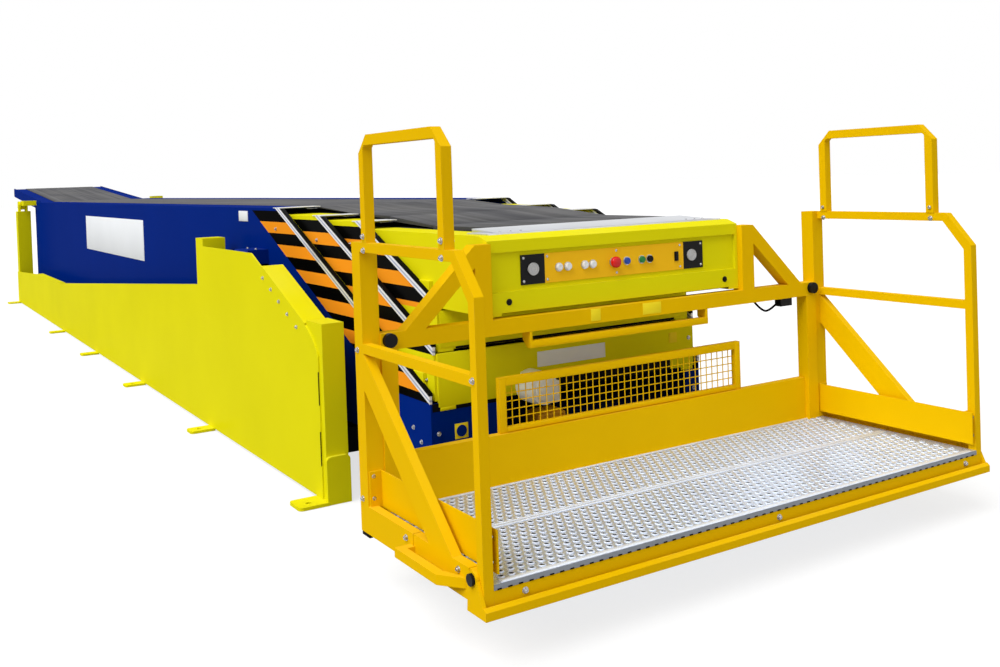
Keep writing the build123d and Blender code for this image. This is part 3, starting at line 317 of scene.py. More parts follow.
    def hazard_band(self, graph: Graph, into: Outputs) -> dict[str, Socket]:
        """Level black and orange stripes on the outer faces, in a band behind the slanted front."""
        drop = graph.math("DIVIDE", graph.math("SUBTRACT", into["Top"], into["Height"]), into["Pitch"])
        dark = graph.math("LESS_THAN", graph.math("FRACT", graph.math("MULTIPLY", drop, 0.5)), 0.5)
        outside = graph.math("MULTIPLY", graph.axes("Object")["Y"], graph.axes("Normal")["Y"])
        mask = graph.chain(
            "MULTIPLY",
            graph.math("GREATER_THAN", into["Ahead"], into["Rear"]),
            graph.math("LESS_THAN", into["Ahead"], into["Front"]),
            graph.math("GREATER_THAN", drop, 0.0),
            graph.math("GREATER_THAN", into["Height"], into["Bottom"]),
            graph.math("GREATER_THAN", outside, 0.1),
        )
        stripes = graph.mix(dark, into["Orange"], into["Black"])
        return {"Colour": graph.mix(mask, into["Colour"], stripes)}


EFFECTS = EffectLibrary()


def ahead_of(graph: Graph, section: str) -> Outputs:
    """Returns the distance ahead of a section's slanted front edge, and the height."""
    knee_x, knee_z = KNEES[section]
    return graph.group(Effect.SLANT, KneeX=knee_x, KneeZ=knee_z, Slope=SLOPE)


@dataclass(frozen=True)
class Finish:
    """A surface finish that makes one material when it is first used.

    Attributes:
        name: The material's name.
        colour: Display colour.
        gloss: Mean roughness.
    """

    name: str
    colour: Colour
    gloss: float

    def material(self) -> bpy.types.Material:
        """Makes the finish's material on first use.

        Returns:
            The material.
        """
        label = f"finish_{self.name}"
        made = bpy.data.materials.get(label)
        if made is None:
            made = bpy.data.materials.new(label)
            made.use_nodes = True
            made.node_tree.nodes.clear()
            made.diffuse_color = linear(self.colour)
            graph = Graph(made.node_tree)
            shader = graph.add("BsdfPrincipled", self.surface(graph))
            graph.add("OutputMaterial", {"Surface": shader.outputs[0]}, is_active_output=True)
        return made

    def surface(self, graph: Graph) -> dict[str, object]:
        """Builds the surface's nodes; each kind of finish has its own.

        Args:
            graph: The material's graph.

        Returns:
            The shader's inputs by name.
        """
        raise NotImplementedError


@dataclass(frozen=True)
class Paint(Finish):
    """Gloss paint on folded sheet steel.

    Attributes:
        drift: How far the tone drifts over a metre or so.
        bare: Colour where an edge is rubbed.
        wear: How much of the edges is rubbed.
        dust: How much dust lies on top.
        dust_colour: Colour of the dust.
        edge: Radius of the softened edges in metres.
        shine: Strength of the clear top coat.
        peel: Depth of the orange peel in metres.
    """

    drift: float = 0.03
    bare: Colour = (0.62, 0.6, 0.5)
    wear: float = 0.2
    dust: float = 0.05
    dust_colour: Colour = (0.78, 0.77, 0.72)
    edge: float = 0.0016
    shine: float = 0.05
    peel: float = 0.00001

    def tint(self, graph: Graph, colour: Socket) -> Socket:
        """Lays a pattern over the paint; plain paint has none."""
        return colour

    def surface(self, graph: Graph) -> dict[str, object]:
        """Paint coat, its pattern, rubbed edges and dust."""
        coat = graph.group(Effect.COAT, Colour=linear(self.colour), Drift=self.drift, Gloss=self.gloss)
        patterned = self.tint(graph, coat["Colour"])
        bare = linear(self.bare)
        edges = graph.group(Effect.EDGES, Colour=patterned, Bare=bare, Width=self.edge, Amount=self.wear)
        dust = linear(self.dust_colour)
        return {
            "Base Color": graph.group(Effect.DUST, Colour=edges["Colour"], Dust=dust, Amount=self.dust)["Colour"],
            "Roughness": coat["Roughness"],
            "Specular IOR Level": 0.0,
            "Coat Weight": self.shine,
            "Coat Roughness": self.gloss,
            "Normal": graph.bump(coat["Height"], self.peel, edges["Normal"]),
        }


TAPE_BLACK = (0.02, 0.02, 0.018)


@dataclass(frozen=True)
class BandedPaint(Paint):
    """Paint with a band of hazard tape behind the section's slanted front edge.

    Attributes:
        section: The section whose slanted edge the band follows.
        band: Rear and front border of the band, measured square to the slanted edge.
        top: Height at which the first black stripe starts.
        bottom: Height below which the paint is plain.
        pitch: Height of one stripe.
        orange: Colour of the bright stripes.
    """

    section: str = "main"
    band: Span = (-0.148, 0.02)
    top: float = 1.067
    bottom: float = 0.434
    pitch: float = 0.0503
    orange: Colour = (0.98, 0.6, 0.12)

    def tint(self, graph: Graph, colour: Socket) -> Socket:
        """Lays the hazard band over the paint."""
        slant = ahead_of(graph, self.section)
        rear, front = self.band
        hazard = graph.group(
            Effect.HAZARD, Colour=colour, Orange=linear(self.orange), Black=linear(TAPE_BLACK),
            Ahead=slant["Ahead"], Height=slant["Height"], Rear=rear, Front=front,
            Top=self.top, Bottom=self.bottom, Pitch=self.pitch,
        )
        return hazard["Colour"]


@dataclass(frozen=True)
class SplitPaint(Paint):
    """Paint that changes colour at an upright plane across the machine.

    Attributes:
        ahead: Display colour in front of the plane.
        split: X of the plane.
    """

    ahead: Colour = (0.0, 0.0, 0.0)
    split: float = 0.0

    def tint(self, graph: Graph, colour: Socket) -> Socket:
        """Lays the second colour over the paint ahead of the plane."""
        beyond = graph.math("GREATER_THAN", graph.axes("Object")["X"], self.split)
        return graph.mix(beyond, colour, linear(self.ahead))


@dataclass(frozen=True)
class Metal(Finish):
    """Bare, plated or anodised metal.

    Attributes:
        stretch: Grain lines for each metre along X, Y and Z.
        metallic: 1 for bare metal, less for a milky plating.
        depth: Depth of the grain in metres.
        bare: Colour of the rubbed edges.
        edge: Radius of the softened edges in metres.
        wear: How much of the edges is rubbed.
    """

    stretch: Place = (6.0, 900.0, 900.0)
    metallic: float = 1.0
    depth: float = 0.00002
    bare: Colour = (0.9, 0.9, 0.9)
    edge: float = 0.0015
    wear: float = 0.3

    def surface(self, graph: Graph) -> dict[str, object]:
        """Grain, gloss and softened edges."""
        grain = graph.group(Effect.BRUSHED, Colour=linear(self.colour), Stretch=self.stretch, Gloss=self.gloss)
        colour, bare = grain["Colour"], linear(self.bare)
        edges = graph.group(Effect.EDGES, Colour=colour, Bare=bare, Width=self.edge, Amount=self.wear)
        return {
            "Base Color": edges["Colour"],
            "Roughness": grain["Roughness"],
            "Metallic": self.metallic,
            "Normal": graph.bump(grain["Height"], self.depth, edges["Normal"]),
        }


@dataclass(frozen=True)
class TrimMetal(Metal):
    """Pale aluminium edge channel, with painted shade for a groove along its middle.

    Attributes:
        section: The section whose slanted edge the channel follows.
        groove: Borders of the groove, measured square to the slanted edge.
        blur: Half width of the groove's soft borders.
        shade: Colour of the painted shade in the groove.
    """

    section: str = "main"
    groove: Span = (0.0075, 0.0135)
    blur: float = 0.001
    shade: Colour = (0.58, 0.62, 0.74)

    def surface(self, graph: Graph) -> dict[str, object]:
        """Channel grain with the groove's painted shade drawn in."""
        inputs = super().surface(graph)
        ahead = ahead_of(graph, self.section)["Ahead"]
        rear, front = self.groove
        after = graph.ramp(ahead, rear - self.blur, rear + self.blur)
        before = graph.ramp(ahead, front + self.blur, front - self.blur)
        mask = graph.math("MULTIPLY", after, before)
        # The groove is a colour band only: painted shade.
        inputs["Base Color"] = graph.mix(mask, inputs["Base Color"], linear(self.shade))
        return inputs


@dataclass(frozen=True)
class Plastic(Finish):
    """Moulded plastic with a fine spark-eroded grain.

    Attributes:
        grain: Depth of the grain in metres.
        shine: Strength of its reflections.
        drift: How far the tone drifts.
        bare: Colour of the rubbed edges.
        edge: Radius of the softened edges in metres.
        wear: How much of the edges is rubbed.
    """

    grain: float = 0.00006
    shine: float = 0.3
    drift: float = 0.05
    bare: Colour = (0.5, 0.5, 0.5)
    edge: float = 0.001
    wear: float = 0.1

    def surface(self, graph: Graph) -> dict[str, object]:
        """Tone drift, grain and softened edges."""
        coat = graph.group(Effect.COAT, Colour=linear(self.colour), Drift=self.drift, Gloss=self.gloss)
        colour, bare = coat["Colour"], linear(self.bare)
        edges = graph.group(Effect.EDGES, Colour=colour, Bare=bare, Width=self.edge, Amount=self.wear)
        return {
            "Base Color": edges["Colour"],
            "Roughness": coat["Roughness"],
            "Specular IOR Level": self.shine,
            "Normal": graph.bump(graph.noise(1400.0, 2.0), self.grain, edges["Normal"]),
        }


@dataclass(frozen=True)
class BeltFabric(Finish):
    """Conveyor belt cover: matt black rubber with an impressed weave and scuffed lanes.

    Attributes:
        weave: Distance between threads in metres.
        relief: Depth of the weave in metres.
        scuff: Colour of the scuffed lanes.
        scuffing: How strong the scuffs are.
        polish: How much smoother the lanes are.
        thread: Colour of the raised threads.
        dust: How much dust lies on top.
        dust_colour: Colour of the dust.
        shine: Strength of its reflections.
    """

    weave: float = 0.0032
    relief: float = 0.0003
    scuff: Colour = (0.36, 0.36, 0.37)
    scuffing: float = 0.45
    polish: float = 0.14
    thread: Colour = (0.1, 0.1, 0.105)
    dust: float = 0.15
    dust_colour: Colour = (0.6, 0.59, 0.56)
    shine: float = 0.06

    def surface(self, graph: Graph) -> dict[str, object]:
        """Weave relief, lengthwise scuffs and dust."""
        wave = {"Vector": graph.add("TexCoord").outputs["Object"], "Scale": 0.05 / self.weave, "Distortion": 0.3}
        threads = (graph.add("TexWave", wave, bands_direction=way).outputs[1] for way in "XY")
        weave = graph.chain("MULTIPLY", *threads)
        lanes = graph.ramp(graph.noise(1.0, 4.0, (0.35, 26.0, 1.0)), 0.35, 0.75)
        scuffs = graph.math("MULTIPLY", lanes, self.scuffing)
        scuffed = graph.mix(scuffs, linear(self.colour), linear(self.scuff))
        woven = graph.mix(graph.math("MULTIPLY", weave, 0.2), scuffed, linear(self.thread))
        dust = linear(self.dust_colour)
        return {
            "Base Color": graph.group(Effect.DUST, Colour=woven, Dust=dust, Amount=self.dust)["Colour"],
            "Roughness": graph.ramp(lanes, 0.0, 1.0, self.gloss, self.gloss - self.polish),
            "Specular IOR Level": self.shine,
            "Normal": graph.bump(weave, self.relief),
        }


@dataclass(frozen=True)
class Rubber(Finish):
    """Soft black rubber edging and cable sheath.

    Attributes:
        drift: How far the tone drifts.
        shine: Strength of its reflections.
        relief: Depth of its pebbled surface in metres.
    """

    drift: float = 0.15
    shine: float = 0.04
    relief: float = 0.0001

    def surface(self, graph: Graph) -> dict[str, object]:
        """Blotchy black with a fine pebbled relief."""
        coat = graph.group(Effect.COAT, Colour=linear(self.colour), Drift=self.drift, Gloss=self.gloss)
        return {
            "Base Color": coat["Colour"],
            "Roughness": coat["Roughness"],
            "Specular IOR Level": self.shine,
            "Normal": graph.bump(graph.noise(900.0, 3.0), self.relief),
        }


LIME = Paint("lime_paint", (0.895, 0.86, 0.05), 0.3)
GOLD = Paint("gold_paint", (0.925, 0.735, 0.005), 0.32)
BLUE = Paint("blue_paint", (0.002, 0.142, 0.49), 0.22, bare=(0.1, 0.22, 0.55), dust=0.008, shine=0.018)
# Black paint: the lift barrels' own colour, and painted shade on the cross members under the boom.
BLACK_PAINT_AND_SHADE = Paint("black_paint_and_shade", (0.06, 0.06, 0.065), 0.4, bare=(0.3, 0.3, 0.3))
GREY_PAINT = Paint("grey_paint", (0.95, 0.95, 0.93), 0.35)
AMBER_PAINT = Paint("amber_paint", (1.0, 0.74, 0.2), 0.4)
PANEL_PAINT = Paint("panel_paint", (0.98, 0.755, 0.12), 0.42, edge=0.0008)
LEMON_PLATE = Paint("lemon_plate", (0.97, 0.87, 0.16), 0.35, edge=0.0004, wear=0.0)
WHITE_PLATE = Paint("white_plate", (0.93, 0.94, 0.95), 0.3, edge=0.0008, dust=0.0)
MAIN_SIDE = BandedPaint(
    "main_side_paint", BLUE.colour, BLUE.gloss, bare=BLUE.bare, dust=BLUE.dust, shine=BLUE.shine
)
FIRST_SIDE = BandedPaint(
    "first_side_paint", LIME.colour, LIME.gloss, section="boom_1", band=(-0.125, 0.02), top=1.032, bottom=0.596
)
SECOND_SIDE = BandedPaint(
    "second_side_paint", LIME.colour, LIME.gloss, section="boom_2", band=(-0.121, 0.02), top=1.012, bottom=0.742
)
MAIN_PAD, FIRST_PAD = (
    BandedPaint(
        f"{name}_pad_paint", LIME.colour, LIME.gloss, section=section, band=(-0.2, 0.034), top=2.0, bottom=0.0,
        orange=TAPE_BLACK,
    )
    for name, section in (("main", "main"), ("first", "boom_1"))
)
BRACKETS = SplitPaint("bracket_paint", LIME.colour, LIME.gloss, ahead=BLUE.colour)
TRIMS = {
    section: TrimMetal(f"{section}_trim_metal", (0.9, 0.9, 0.91), 0.3, section=section, metallic=0.25)
    for section in KNEES
}
CROSSWISE = (500.0, 12.0, 500.0)
CHROME = Metal("chrome", (0.86, 0.87, 0.89), 0.12, stretch=(700.0, 700.0, 8.0))
ZINC = Metal("zinc_sheet", (0.8, 0.81, 0.83), 0.34, stretch=(300.0, 9.0, 300.0))
STEEL_BOLT = Metal("bolt_zinc", (0.7, 0.7, 0.71), 0.22, stretch=(900.0, 900.0, 900.0))
# Darker steel for the planks' front face: painted shade.
EDGE_STEEL_SHADE = Metal("edge_steel_shade", (0.5, 0.52, 0.55), 0.4, stretch=CROSSWISE, metallic=0.4)
GRATING = Metal("grating_zinc", (0.83, 0.87, 0.94), 0.27, stretch=CROSSWISE, metallic=0.6)
# Paler, less metallic zinc for raised rims and rolled edges: their zinc, lightened as painted highlight.
RIM_ZINC_AND_HIGHLIGHT = Metal("rim_zinc_and_highlight", (0.92, 0.95, 1.0), 0.34, stretch=CROSSWISE, metallic=0.3)
BELT = BeltFabric("belt_cover", (0.22, 0.22, 0.235), 0.62)
RUBBER = Rubber("black_rubber", (0.012, 0.012, 0.014), 0.6)
BLACK_PLASTIC = Plastic("black_plastic", (0.045, 0.045, 0.05), 0.42, shine=0.12)
GREY_PLASTIC = Plastic("grey_plastic", (0.72, 0.72, 0.72), 0.4)
# Near black laid where only shade would show, in slots, holes, recesses and gaps: painted shade.
HOLE_SHADE = Plastic("hole_painted_shade", (0.04, 0.04, 0.045), 0.8, shine=0.05)
CAP_GRAIN = 0.00001


class CapKind(Enum):
    """Heads of the control buttons."""

    WHITE = Plastic("white_cap", (0.93, 0.93, 0.93), 0.25, CAP_GRAIN)
    RED = Plastic("red_cap", (0.82, 0.06, 0.06), 0.28, CAP_GRAIN)
    BLUE = Plastic("blue_cap", (0.1, 0.28, 0.68), 0.28, CAP_GRAIN)
    GREEN = Plastic("green_cap", (0.1, 0.5, 0.22), 0.28, CAP_GRAIN)
    BLACK = BLACK_PLASTIC


def dress(finish: Finish, *nodes: str) -> None:
    """Gives CAD nodes a finish through their material slots.

    Args:
        finish: The finish.
        *nodes: The nodes' names.
    """
    for node in nodes:
        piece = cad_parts[node]
        if not piece.material_slots:
            piece.data.materials.append(None)
        for slot in piece.material_slots:
            slot.material = finish.material()


def deselect() -> None:
    """Leaves edit mode and deselects everything."""
    if bpy.context.object and bpy.context.object.mode != "OBJECT":
        leave_edit()
    bpy.ops.object.select_all(action="DESELECT")


def choose(piece: Piece) -> None:
    """Selects one piece alone and makes it active.

    Args:
        piece: The piece.
    """
    deselect()
    piece.select_set(True)
    bpy.context.view_layer.objects.active = piece


def settle() -> Piece:
    """Moves a new primitive's place into its mesh and returns it."""
    bpy.ops.object.transform_apply(location=True, rotation=True, scale=True)
    return bpy.context.object


def start_box(low: Place, high: Place) -> Piece:
    """Adds a box between its lowest and highest corner.

    Args:
        low: Lowest corner in metres.
        high: Highest corner in metres.

    Returns:
        The new piece.
    """
    deselect()
    bpy.ops.mesh.primitive_cube_add(size=1.0, location=[(a + b) / 2 for a, b in zip(low, high)])
    bpy.context.object.scale = [b - a for a, b in zip(low, high)]
    return settle()


def block(low: Place, high: Place, facing: Facing, *steps: Span, rounding: float = 0.0) -> Piece:
    """Models a box with one stepped face.

    Args:
        low: Lowest corner in metres.
        high: Highest corner in metres.
        facing: Side that the stepped face looks to.
        *steps: Steps of that face, as step_face takes them.
        rounding: Width of the rounded edges, or 0 for sharp ones.

    Returns:
        The new piece.
    """
    piece = start_box(low, high)
    step_face(piece, facing, *steps)
    if rounding:
        soften(piece, rounding)
    return piece


def bare_plate(low: Place, high: Place, facing: Facing) -> Piece:
    """Models a blank plate with a low raised middle."""
    return block(low, high, facing, PLATE_STEP, rounding=PLATE_ROUND)


def turned(place: Place, radius: float, depth: float, facing: Facing, sides: int, *steps: Span) -> Piece:
    """Models a round piece that stands on a surface, with a stepped end.

    Args:
        place: Middle of its foot in metres.
        radius: Radius in metres.
        depth: Height above the foot in metres, before the steps.
        facing: Direction that it stands out in.
        sides: Number of side faces.
        *steps: Steps of its end, as step_face takes them.

    Returns:
        The new piece.
    """
    deselect()
    out = Vector(facing.value)
    bpy.ops.mesh.primitive_cylinder_add(
        vertices=sides, radius=radius, depth=depth, location=Vector(place) + out * depth / 2,
        rotation=out.to_track_quat("Z", "Y").to_euler(),
    )
    piece = settle()
    step_face(piece, facing, *steps)
    return piece


def wedge(rear: Place, front: Place, half: float, rounding: float) -> Piece:
    """Models a sheet across the middle plane with its own height at each end.

    Args:
        rear: X, lowest Z and highest Z of its rear end.
        front: X, lowest Z and highest Z of its front end.
        half: Half its width.
        rounding: Width of its rounded edges.

    Returns:
        The new piece.
    """
    piece = start_box((rear[0], -half, rear[1]), (front[0], half, rear[2]))
    for old, new in zip(rear[1:], front[1:]):
        pick_edges(
            piece, lambda *ends: all(end.x > front[0] - TOUCH and abs(end.z - old) < TOUCH for end in ends)
        )
        bpy.ops.transform.translate(value=(0.0, 0.0, new - old))
        leave_edit()
    soften(piece, rounding)
    return piece


def enter_edit(piece: Piece, domain: str, marked: Sequence[bool]) -> None:
    """Enters edit mode with some of a piece's faces or edges selected.

    Args:
        piece: The piece.
        domain: The elements that are marked, polygons or edges.
        marked: Whether each of them is selected.
    """
    choose(piece)
    for kind in ("vertices", "edges", "polygons"):
        elements = getattr(piece.data, kind)
        elements.foreach_set("select", marked if kind == domain else [False] * len(elements))
    faces = domain == "polygons"
    bpy.context.tool_settings.mesh_select_mode = (False, not faces, faces)
    bpy.ops.object.mode_set(mode="EDIT")


def pick_faces(piece: Piece, test: Test) -> None:
    """Enters edit mode with the faces whose middle and normal pass a test selected."""
    enter_edit(piece, "polygons", [test(face.center, face.normal) for face in piece.data.polygons])


def pick_edges(piece: Piece, test: Test) -> None:
    """Enters edit mode with the edges whose two ends pass a test selected."""
    points = piece.data.vertices
    enter_edit(piece, "edges", [test(*(points[i].co for i in edge.vertices)) for edge in piece.data.edges])


def leave_edit() -> None:
    """Goes back to object mode."""
    bpy.ops.object.mode_set(mode="OBJECT")


def extrude(move: Place) -> None:
    """Pulls the selected faces out along a vector."""
    bpy.ops.mesh.extrude_region_move(TRANSFORM_OT_translate={"value": move})


def step_face(piece: Piece, facing: Facing, *steps: Span) -> None:
    """Insets the outermost face on one side and pulls its inner part in or out, step by step.

    Args:
        piece: The piece.
        facing: Side that the face looks to.
        *steps: Width of each rim, and how far the part inside it moves out; negative sinks it.
    """
    out = Vector(facing.value)
    reach = max(vertex.co.dot(out) for vertex in piece.data.vertices)
    pick_faces(piece, lambda at, normal: normal.dot(out) > 0.9 and at.dot(out) > reach - TOUCH)
    for inset, rise in steps:
        bpy.ops.mesh.inset(thickness=inset, depth=0.0)
        extrude(out * rise)
    leave_edit()


def modify(piece: Piece, kind: str, **settings: object) -> None:
    """Adds a modifier to a piece and applies it.

    Args:
        piece: The piece.
        kind: The modifier's type.
        **settings: Its properties.
    """
    choose(piece)
    modifier = piece.modifiers.new(kind.lower(), kind)
    for key, setting in settings.items():
        setattr(modifier, key, setting)
    bpy.ops.object.modifier_apply(modifier=modifier.name)


def smooth(piece: Piece, degrees: float) -> None:
    """Shades a piece smooth where its faces meet at less than an angle."""
    choose(piece)
    bpy.ops.object.shade_smooth_by_angle(angle=math.radians(degrees))


def soften(piece: Piece, width: float) -> None:
    """Rounds every sharp edge and smooths by angle."""
    modify(piece, "BEVEL", width=width, segments=2, limit_method="ANGLE")
    smooth(piece, 40)


def spread(piece: Piece, count: int, step: Place) -> None:
    """Repeats a piece in a straight row."""
    offset = {"use_relative_offset": False, "use_constant_offset": True, "constant_offset_displace": step}
    modify(piece, "ARRAY", count=count, **offset)


def fill_slots(piece: Piece, *finishes: Finish) -> Piece:
    """Gives a new piece its finishes.

    Args:
        piece: The piece.
        *finishes: Its finishes, in slot order.

    Returns:
        The same piece.
    """
    piece.data.materials.clear()
    for finish in finishes:
        piece.data.materials.append(finish.material())
    return piece


def paint_faces(piece: Piece, test: Test) -> None:
    """Puts the faces whose middle and normal pass a test on the second material slot."""
    for face in piece.data.polygons:
        face.material_index = int(test(face.center, face.normal))


def copies(model: Piece, moves: Iterable[Matrix]) -> list[Piece]:
    """Copies a model to several places, each copy with its own mesh.

    Args:
        model: The piece to copy; it is removed afterwards.
        moves: One matrix for each copy.

    Returns:
        The copies, at the origin, with their places in their meshes.
    """
    made = []
    for move in moves:
        copy = model.copy()
        copy.data = model.data.copy()
        copy.data.transform(move)
        bpy.context.collection.objects.link(copy)
        made.append(copy)
    bpy.data.objects.remove(model)
    return made


def pair(model: Piece, low: Place, high: Place) -> list[Piece]:
    """Sets a piece between two corners on the right, and the same piece in the mirrored place."""
    return copies(model, [Matrix.Identity(4), Matrix.Translation((0.0, -low[1] - high[1], 0.0))])


def hand_over(
    name: str, parts: Sequence[Piece], body: Body, slot: str, *finishes: Finish, stands_for: str = ""
) -> None:
    """Joins parts into one piece, finishes it, sets it on its body and reports it.

    Args:
        name: The piece's name.
        parts: Its parts.
        body: The body that it moves with.
        slot: The record's material slot; not used.
        *finishes: Its finishes, where the parts don't have theirs yet.
        stands_for: CAD node that it replaces, if any.
    """
    deselect()
    for part in parts:
        part.select_set(True)
    piece = bpy.context.view_layer.objects.active = parts[0]
    if len(parts) > 1:
        bpy.ops.object.join()
    piece.name = piece.data.name = name
    if finishes:
        fill_slots(piece, *finishes)
    if stands_for:
        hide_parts(stands_for)
    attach(piece, body.value)
    LOG.info("%s: %d faces on %s", name, len(getattr(piece.data, "polygons", [])), body.value)


@dataclass(frozen=True)
class Bolt:
    """A domed bolt head on a washer, modelled once and copied.

    Attributes:
        radius: Head radius in metres.
        height: Height of washer and head in metres.
        washer: Radius and thickness of the washer, as shares of the two.
        dome: Rim and rise of each step of the head, as shares of the two.
    """

    radius: float = 0.0062
    height: float = 0.007
    washer: Span = (1.35, 0.2)
    dome: tuple[Span, ...] = ((0.35, 0.55), (0.28, 0.25), (0.3, -0.3))

    def heads(self, places: Iterable[Aim], finish: Finish = STEEL_BOLT) -> list[Piece]:
        """Sets bolt heads at several places.

        Args:
            places: Foot and outward direction of each bolt.
            finish: Finish of the heads.

        Returns:
            The heads.
        """
        wide, thick = self.washer
        steps = [(rim * self.radius, rise * self.height) for rim, rise in self.dome]
        model = turned((0.0, 0.0, 0.0), wide * self.radius, thick * self.height, Facing.UP, 12, *steps)
        smooth(model, 35)
        fill_slots(model, finish)
        moves = []
        for foot, out in places:
            turn = Vector(out).to_track_quat("Z", "Y").to_matrix().to_4x4()
            moves.append(Matrix.Translation(foot) @ turn)
        return copies(model, moves)


def both_sides(points: Iterable[Place]) -> list[Place]:
    """Returns the points and their mirror images across the middle plane."""
    right = list(points)
    return right + [(x, -y, z) for x, y, z in right]


def outward(points: Iterable[Place], sense: float = 1.0) -> list[Aim]:
    """Pairs side points with the direction away from the middle plane, or towards it with a sense of -1."""
    return [((x, y, z), (0.0, sense * math.copysign(1.0, y), 0.0)) for x, y, z in points]


def aimed(points: Iterable[Place], facing: Facing) -> list[Aim]:
    """Pairs points with one direction."""
    return [(point, facing.value) for point in points]


def on_side(side: Facing, xs: Span, depths: Span, zs: Span) -> Corners:
    """Finds the corners of a box on one side of the machine.

    Args:
        side: The side.
        xs: Rear and front X.
        depths: Its two distances from the middle plane.
        zs: Lowest and highest Z.

    Returns:
        The lowest and the highest corner.
    """
    low, high = sorted(side.value[1] * depth for depth in depths)
    return (xs[0], low, zs[0]), (xs[1], high, zs[1])


@dataclass
class BaseFrame:
    """Floor-bolted base: side panels, posts, covers and lift barrels.

    Attributes:
        half_width: Outer face of the side panels.
        cover_bolts: X and Z of the bolts along the sloped cover.
        seam_x: Rear and front X of the weld slots beside each front post.
        seams: Lowest and highest Z of each weld slot.
        seam_y: Inner and outer distance of the slots' dark strips from the middle plane.
        bolt: The bolt head used.
    """

    half_width: float = 0.776
    cover_bolts: tuple[Span, ...] = (
        (3.709, 0.798), (3.802, 0.757), (3.892, 0.715), (3.984, 0.673), (4.078, 0.632)
    )
    seam_x: Span = (4.28, 4.286)
    seams: tuple[Span, ...] = ((0.362, 0.486), (0.135, 0.263))
    # seam_y: Inner and outer distance of the slots' painted-shade strips from the middle plane.
    seam_y: Span = (0.774, 0.7764)
    seam_step: Span = (0.0012, -0.0004)
    bolt: Bolt = Bolt()

    def dress(self) -> None:
        """Paints the base and its lift cylinders, with the cross members black as painted shade under the boom."""
        dress(LIME, "base_side_left", "base_side_right", "base_posts", "base_rear_posts", "slope_covers")
        # The cross members take black as painted shade under the boom; the lift barrels are black.
        dress(BLACK_PAINT_AND_SHADE, "base_cross_members", "lift_barrels")
        dress(CHROME, "lift_rod_left", "lift_rod_right")

    def build(self) -> None:
        """Adds the cover bolts, and near-black strips as painted shade in the weld slots beside the front posts."""
        points = both_sides((x, -self.half_width, z) for x, z in self.cover_bolts)
        hand_over("base_cover_bolts", self.bolt.heads(outward(points)), Body.BASE, "rod_chrome")
        # Near-black strips stand for the shade inside the weld slots: painted shade.
        slots = [
            block(*on_side(side, self.seam_x, self.seam_y, seam), side, self.seam_step)
            for side in SIDES for seam in self.seams
        ]
        hand_over("base_weld_slot_shades", slots, Body.BASE, "black_metal", HOLE_SHADE)


@dataclass
class EdgeRubber:
    """Black rubber strip along a section's slanted trim and its top strip.

    Attributes:
        section: Name of the section's nodes.
        body: The section's body.
        width: Width of the strip ahead of the trim.
        thickness: Thickness across the section's side.
        proud: How far it stands out of the section's side.
        trim: Width of the trim that it leaves bare.
        spare: Length beyond each end before the ends are cut.
        rounding: Width of its rounded edges.
    """

    section: str
    body: Body
    width: float = 0.009
    thickness: float = 0.016
    proud: float = 0.0055
    trim: float = 0.0235
    spare: float = 0.1
    rounding: float = 0.0015

    def build(self) -> None:
        """Models the strip on both sides, cut level at its top and upright at its front."""
        knee_x, knee_z = KNEES[self.section]
        low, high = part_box(f"{self.section}_side_right")
        angle = math.atan2(1.0, SLOPE)
        length = (high[2] - knee_z) / math.sin(angle)
        half = self.thickness / 2
        cuts = (((0.0, 0.0, high[2]), Facing.UP), ((knee_x, 0.0, 0.0), Facing.FRONT))
        strips = []
        for side in SIDES:
            strip = start_box((-length - self.spare, -half, self.trim), (self.spare, half, self.trim + self.width))
            y = side.value[1] * (self.proud - low[1] - half)
            strip.data.transform(Matrix.Translation((knee_x, y, knee_z)) @ Matrix.Rotation(angle, 4, "Y"))
            bpy.ops.object.mode_set(mode="EDIT")
            for point, facing in cuts:
                bpy.ops.mesh.select_all(action="SELECT")
                bpy.ops.mesh.bisect(plane_co=point, plane_no=facing.value, use_fill=True, clear_outer=True)
            leave_edit()
            soften(strip, self.rounding)
            strips.append(strip)
        hand_over(f"{self.section}_edge_rubber", strips, self.body, "cable_black", RUBBER)


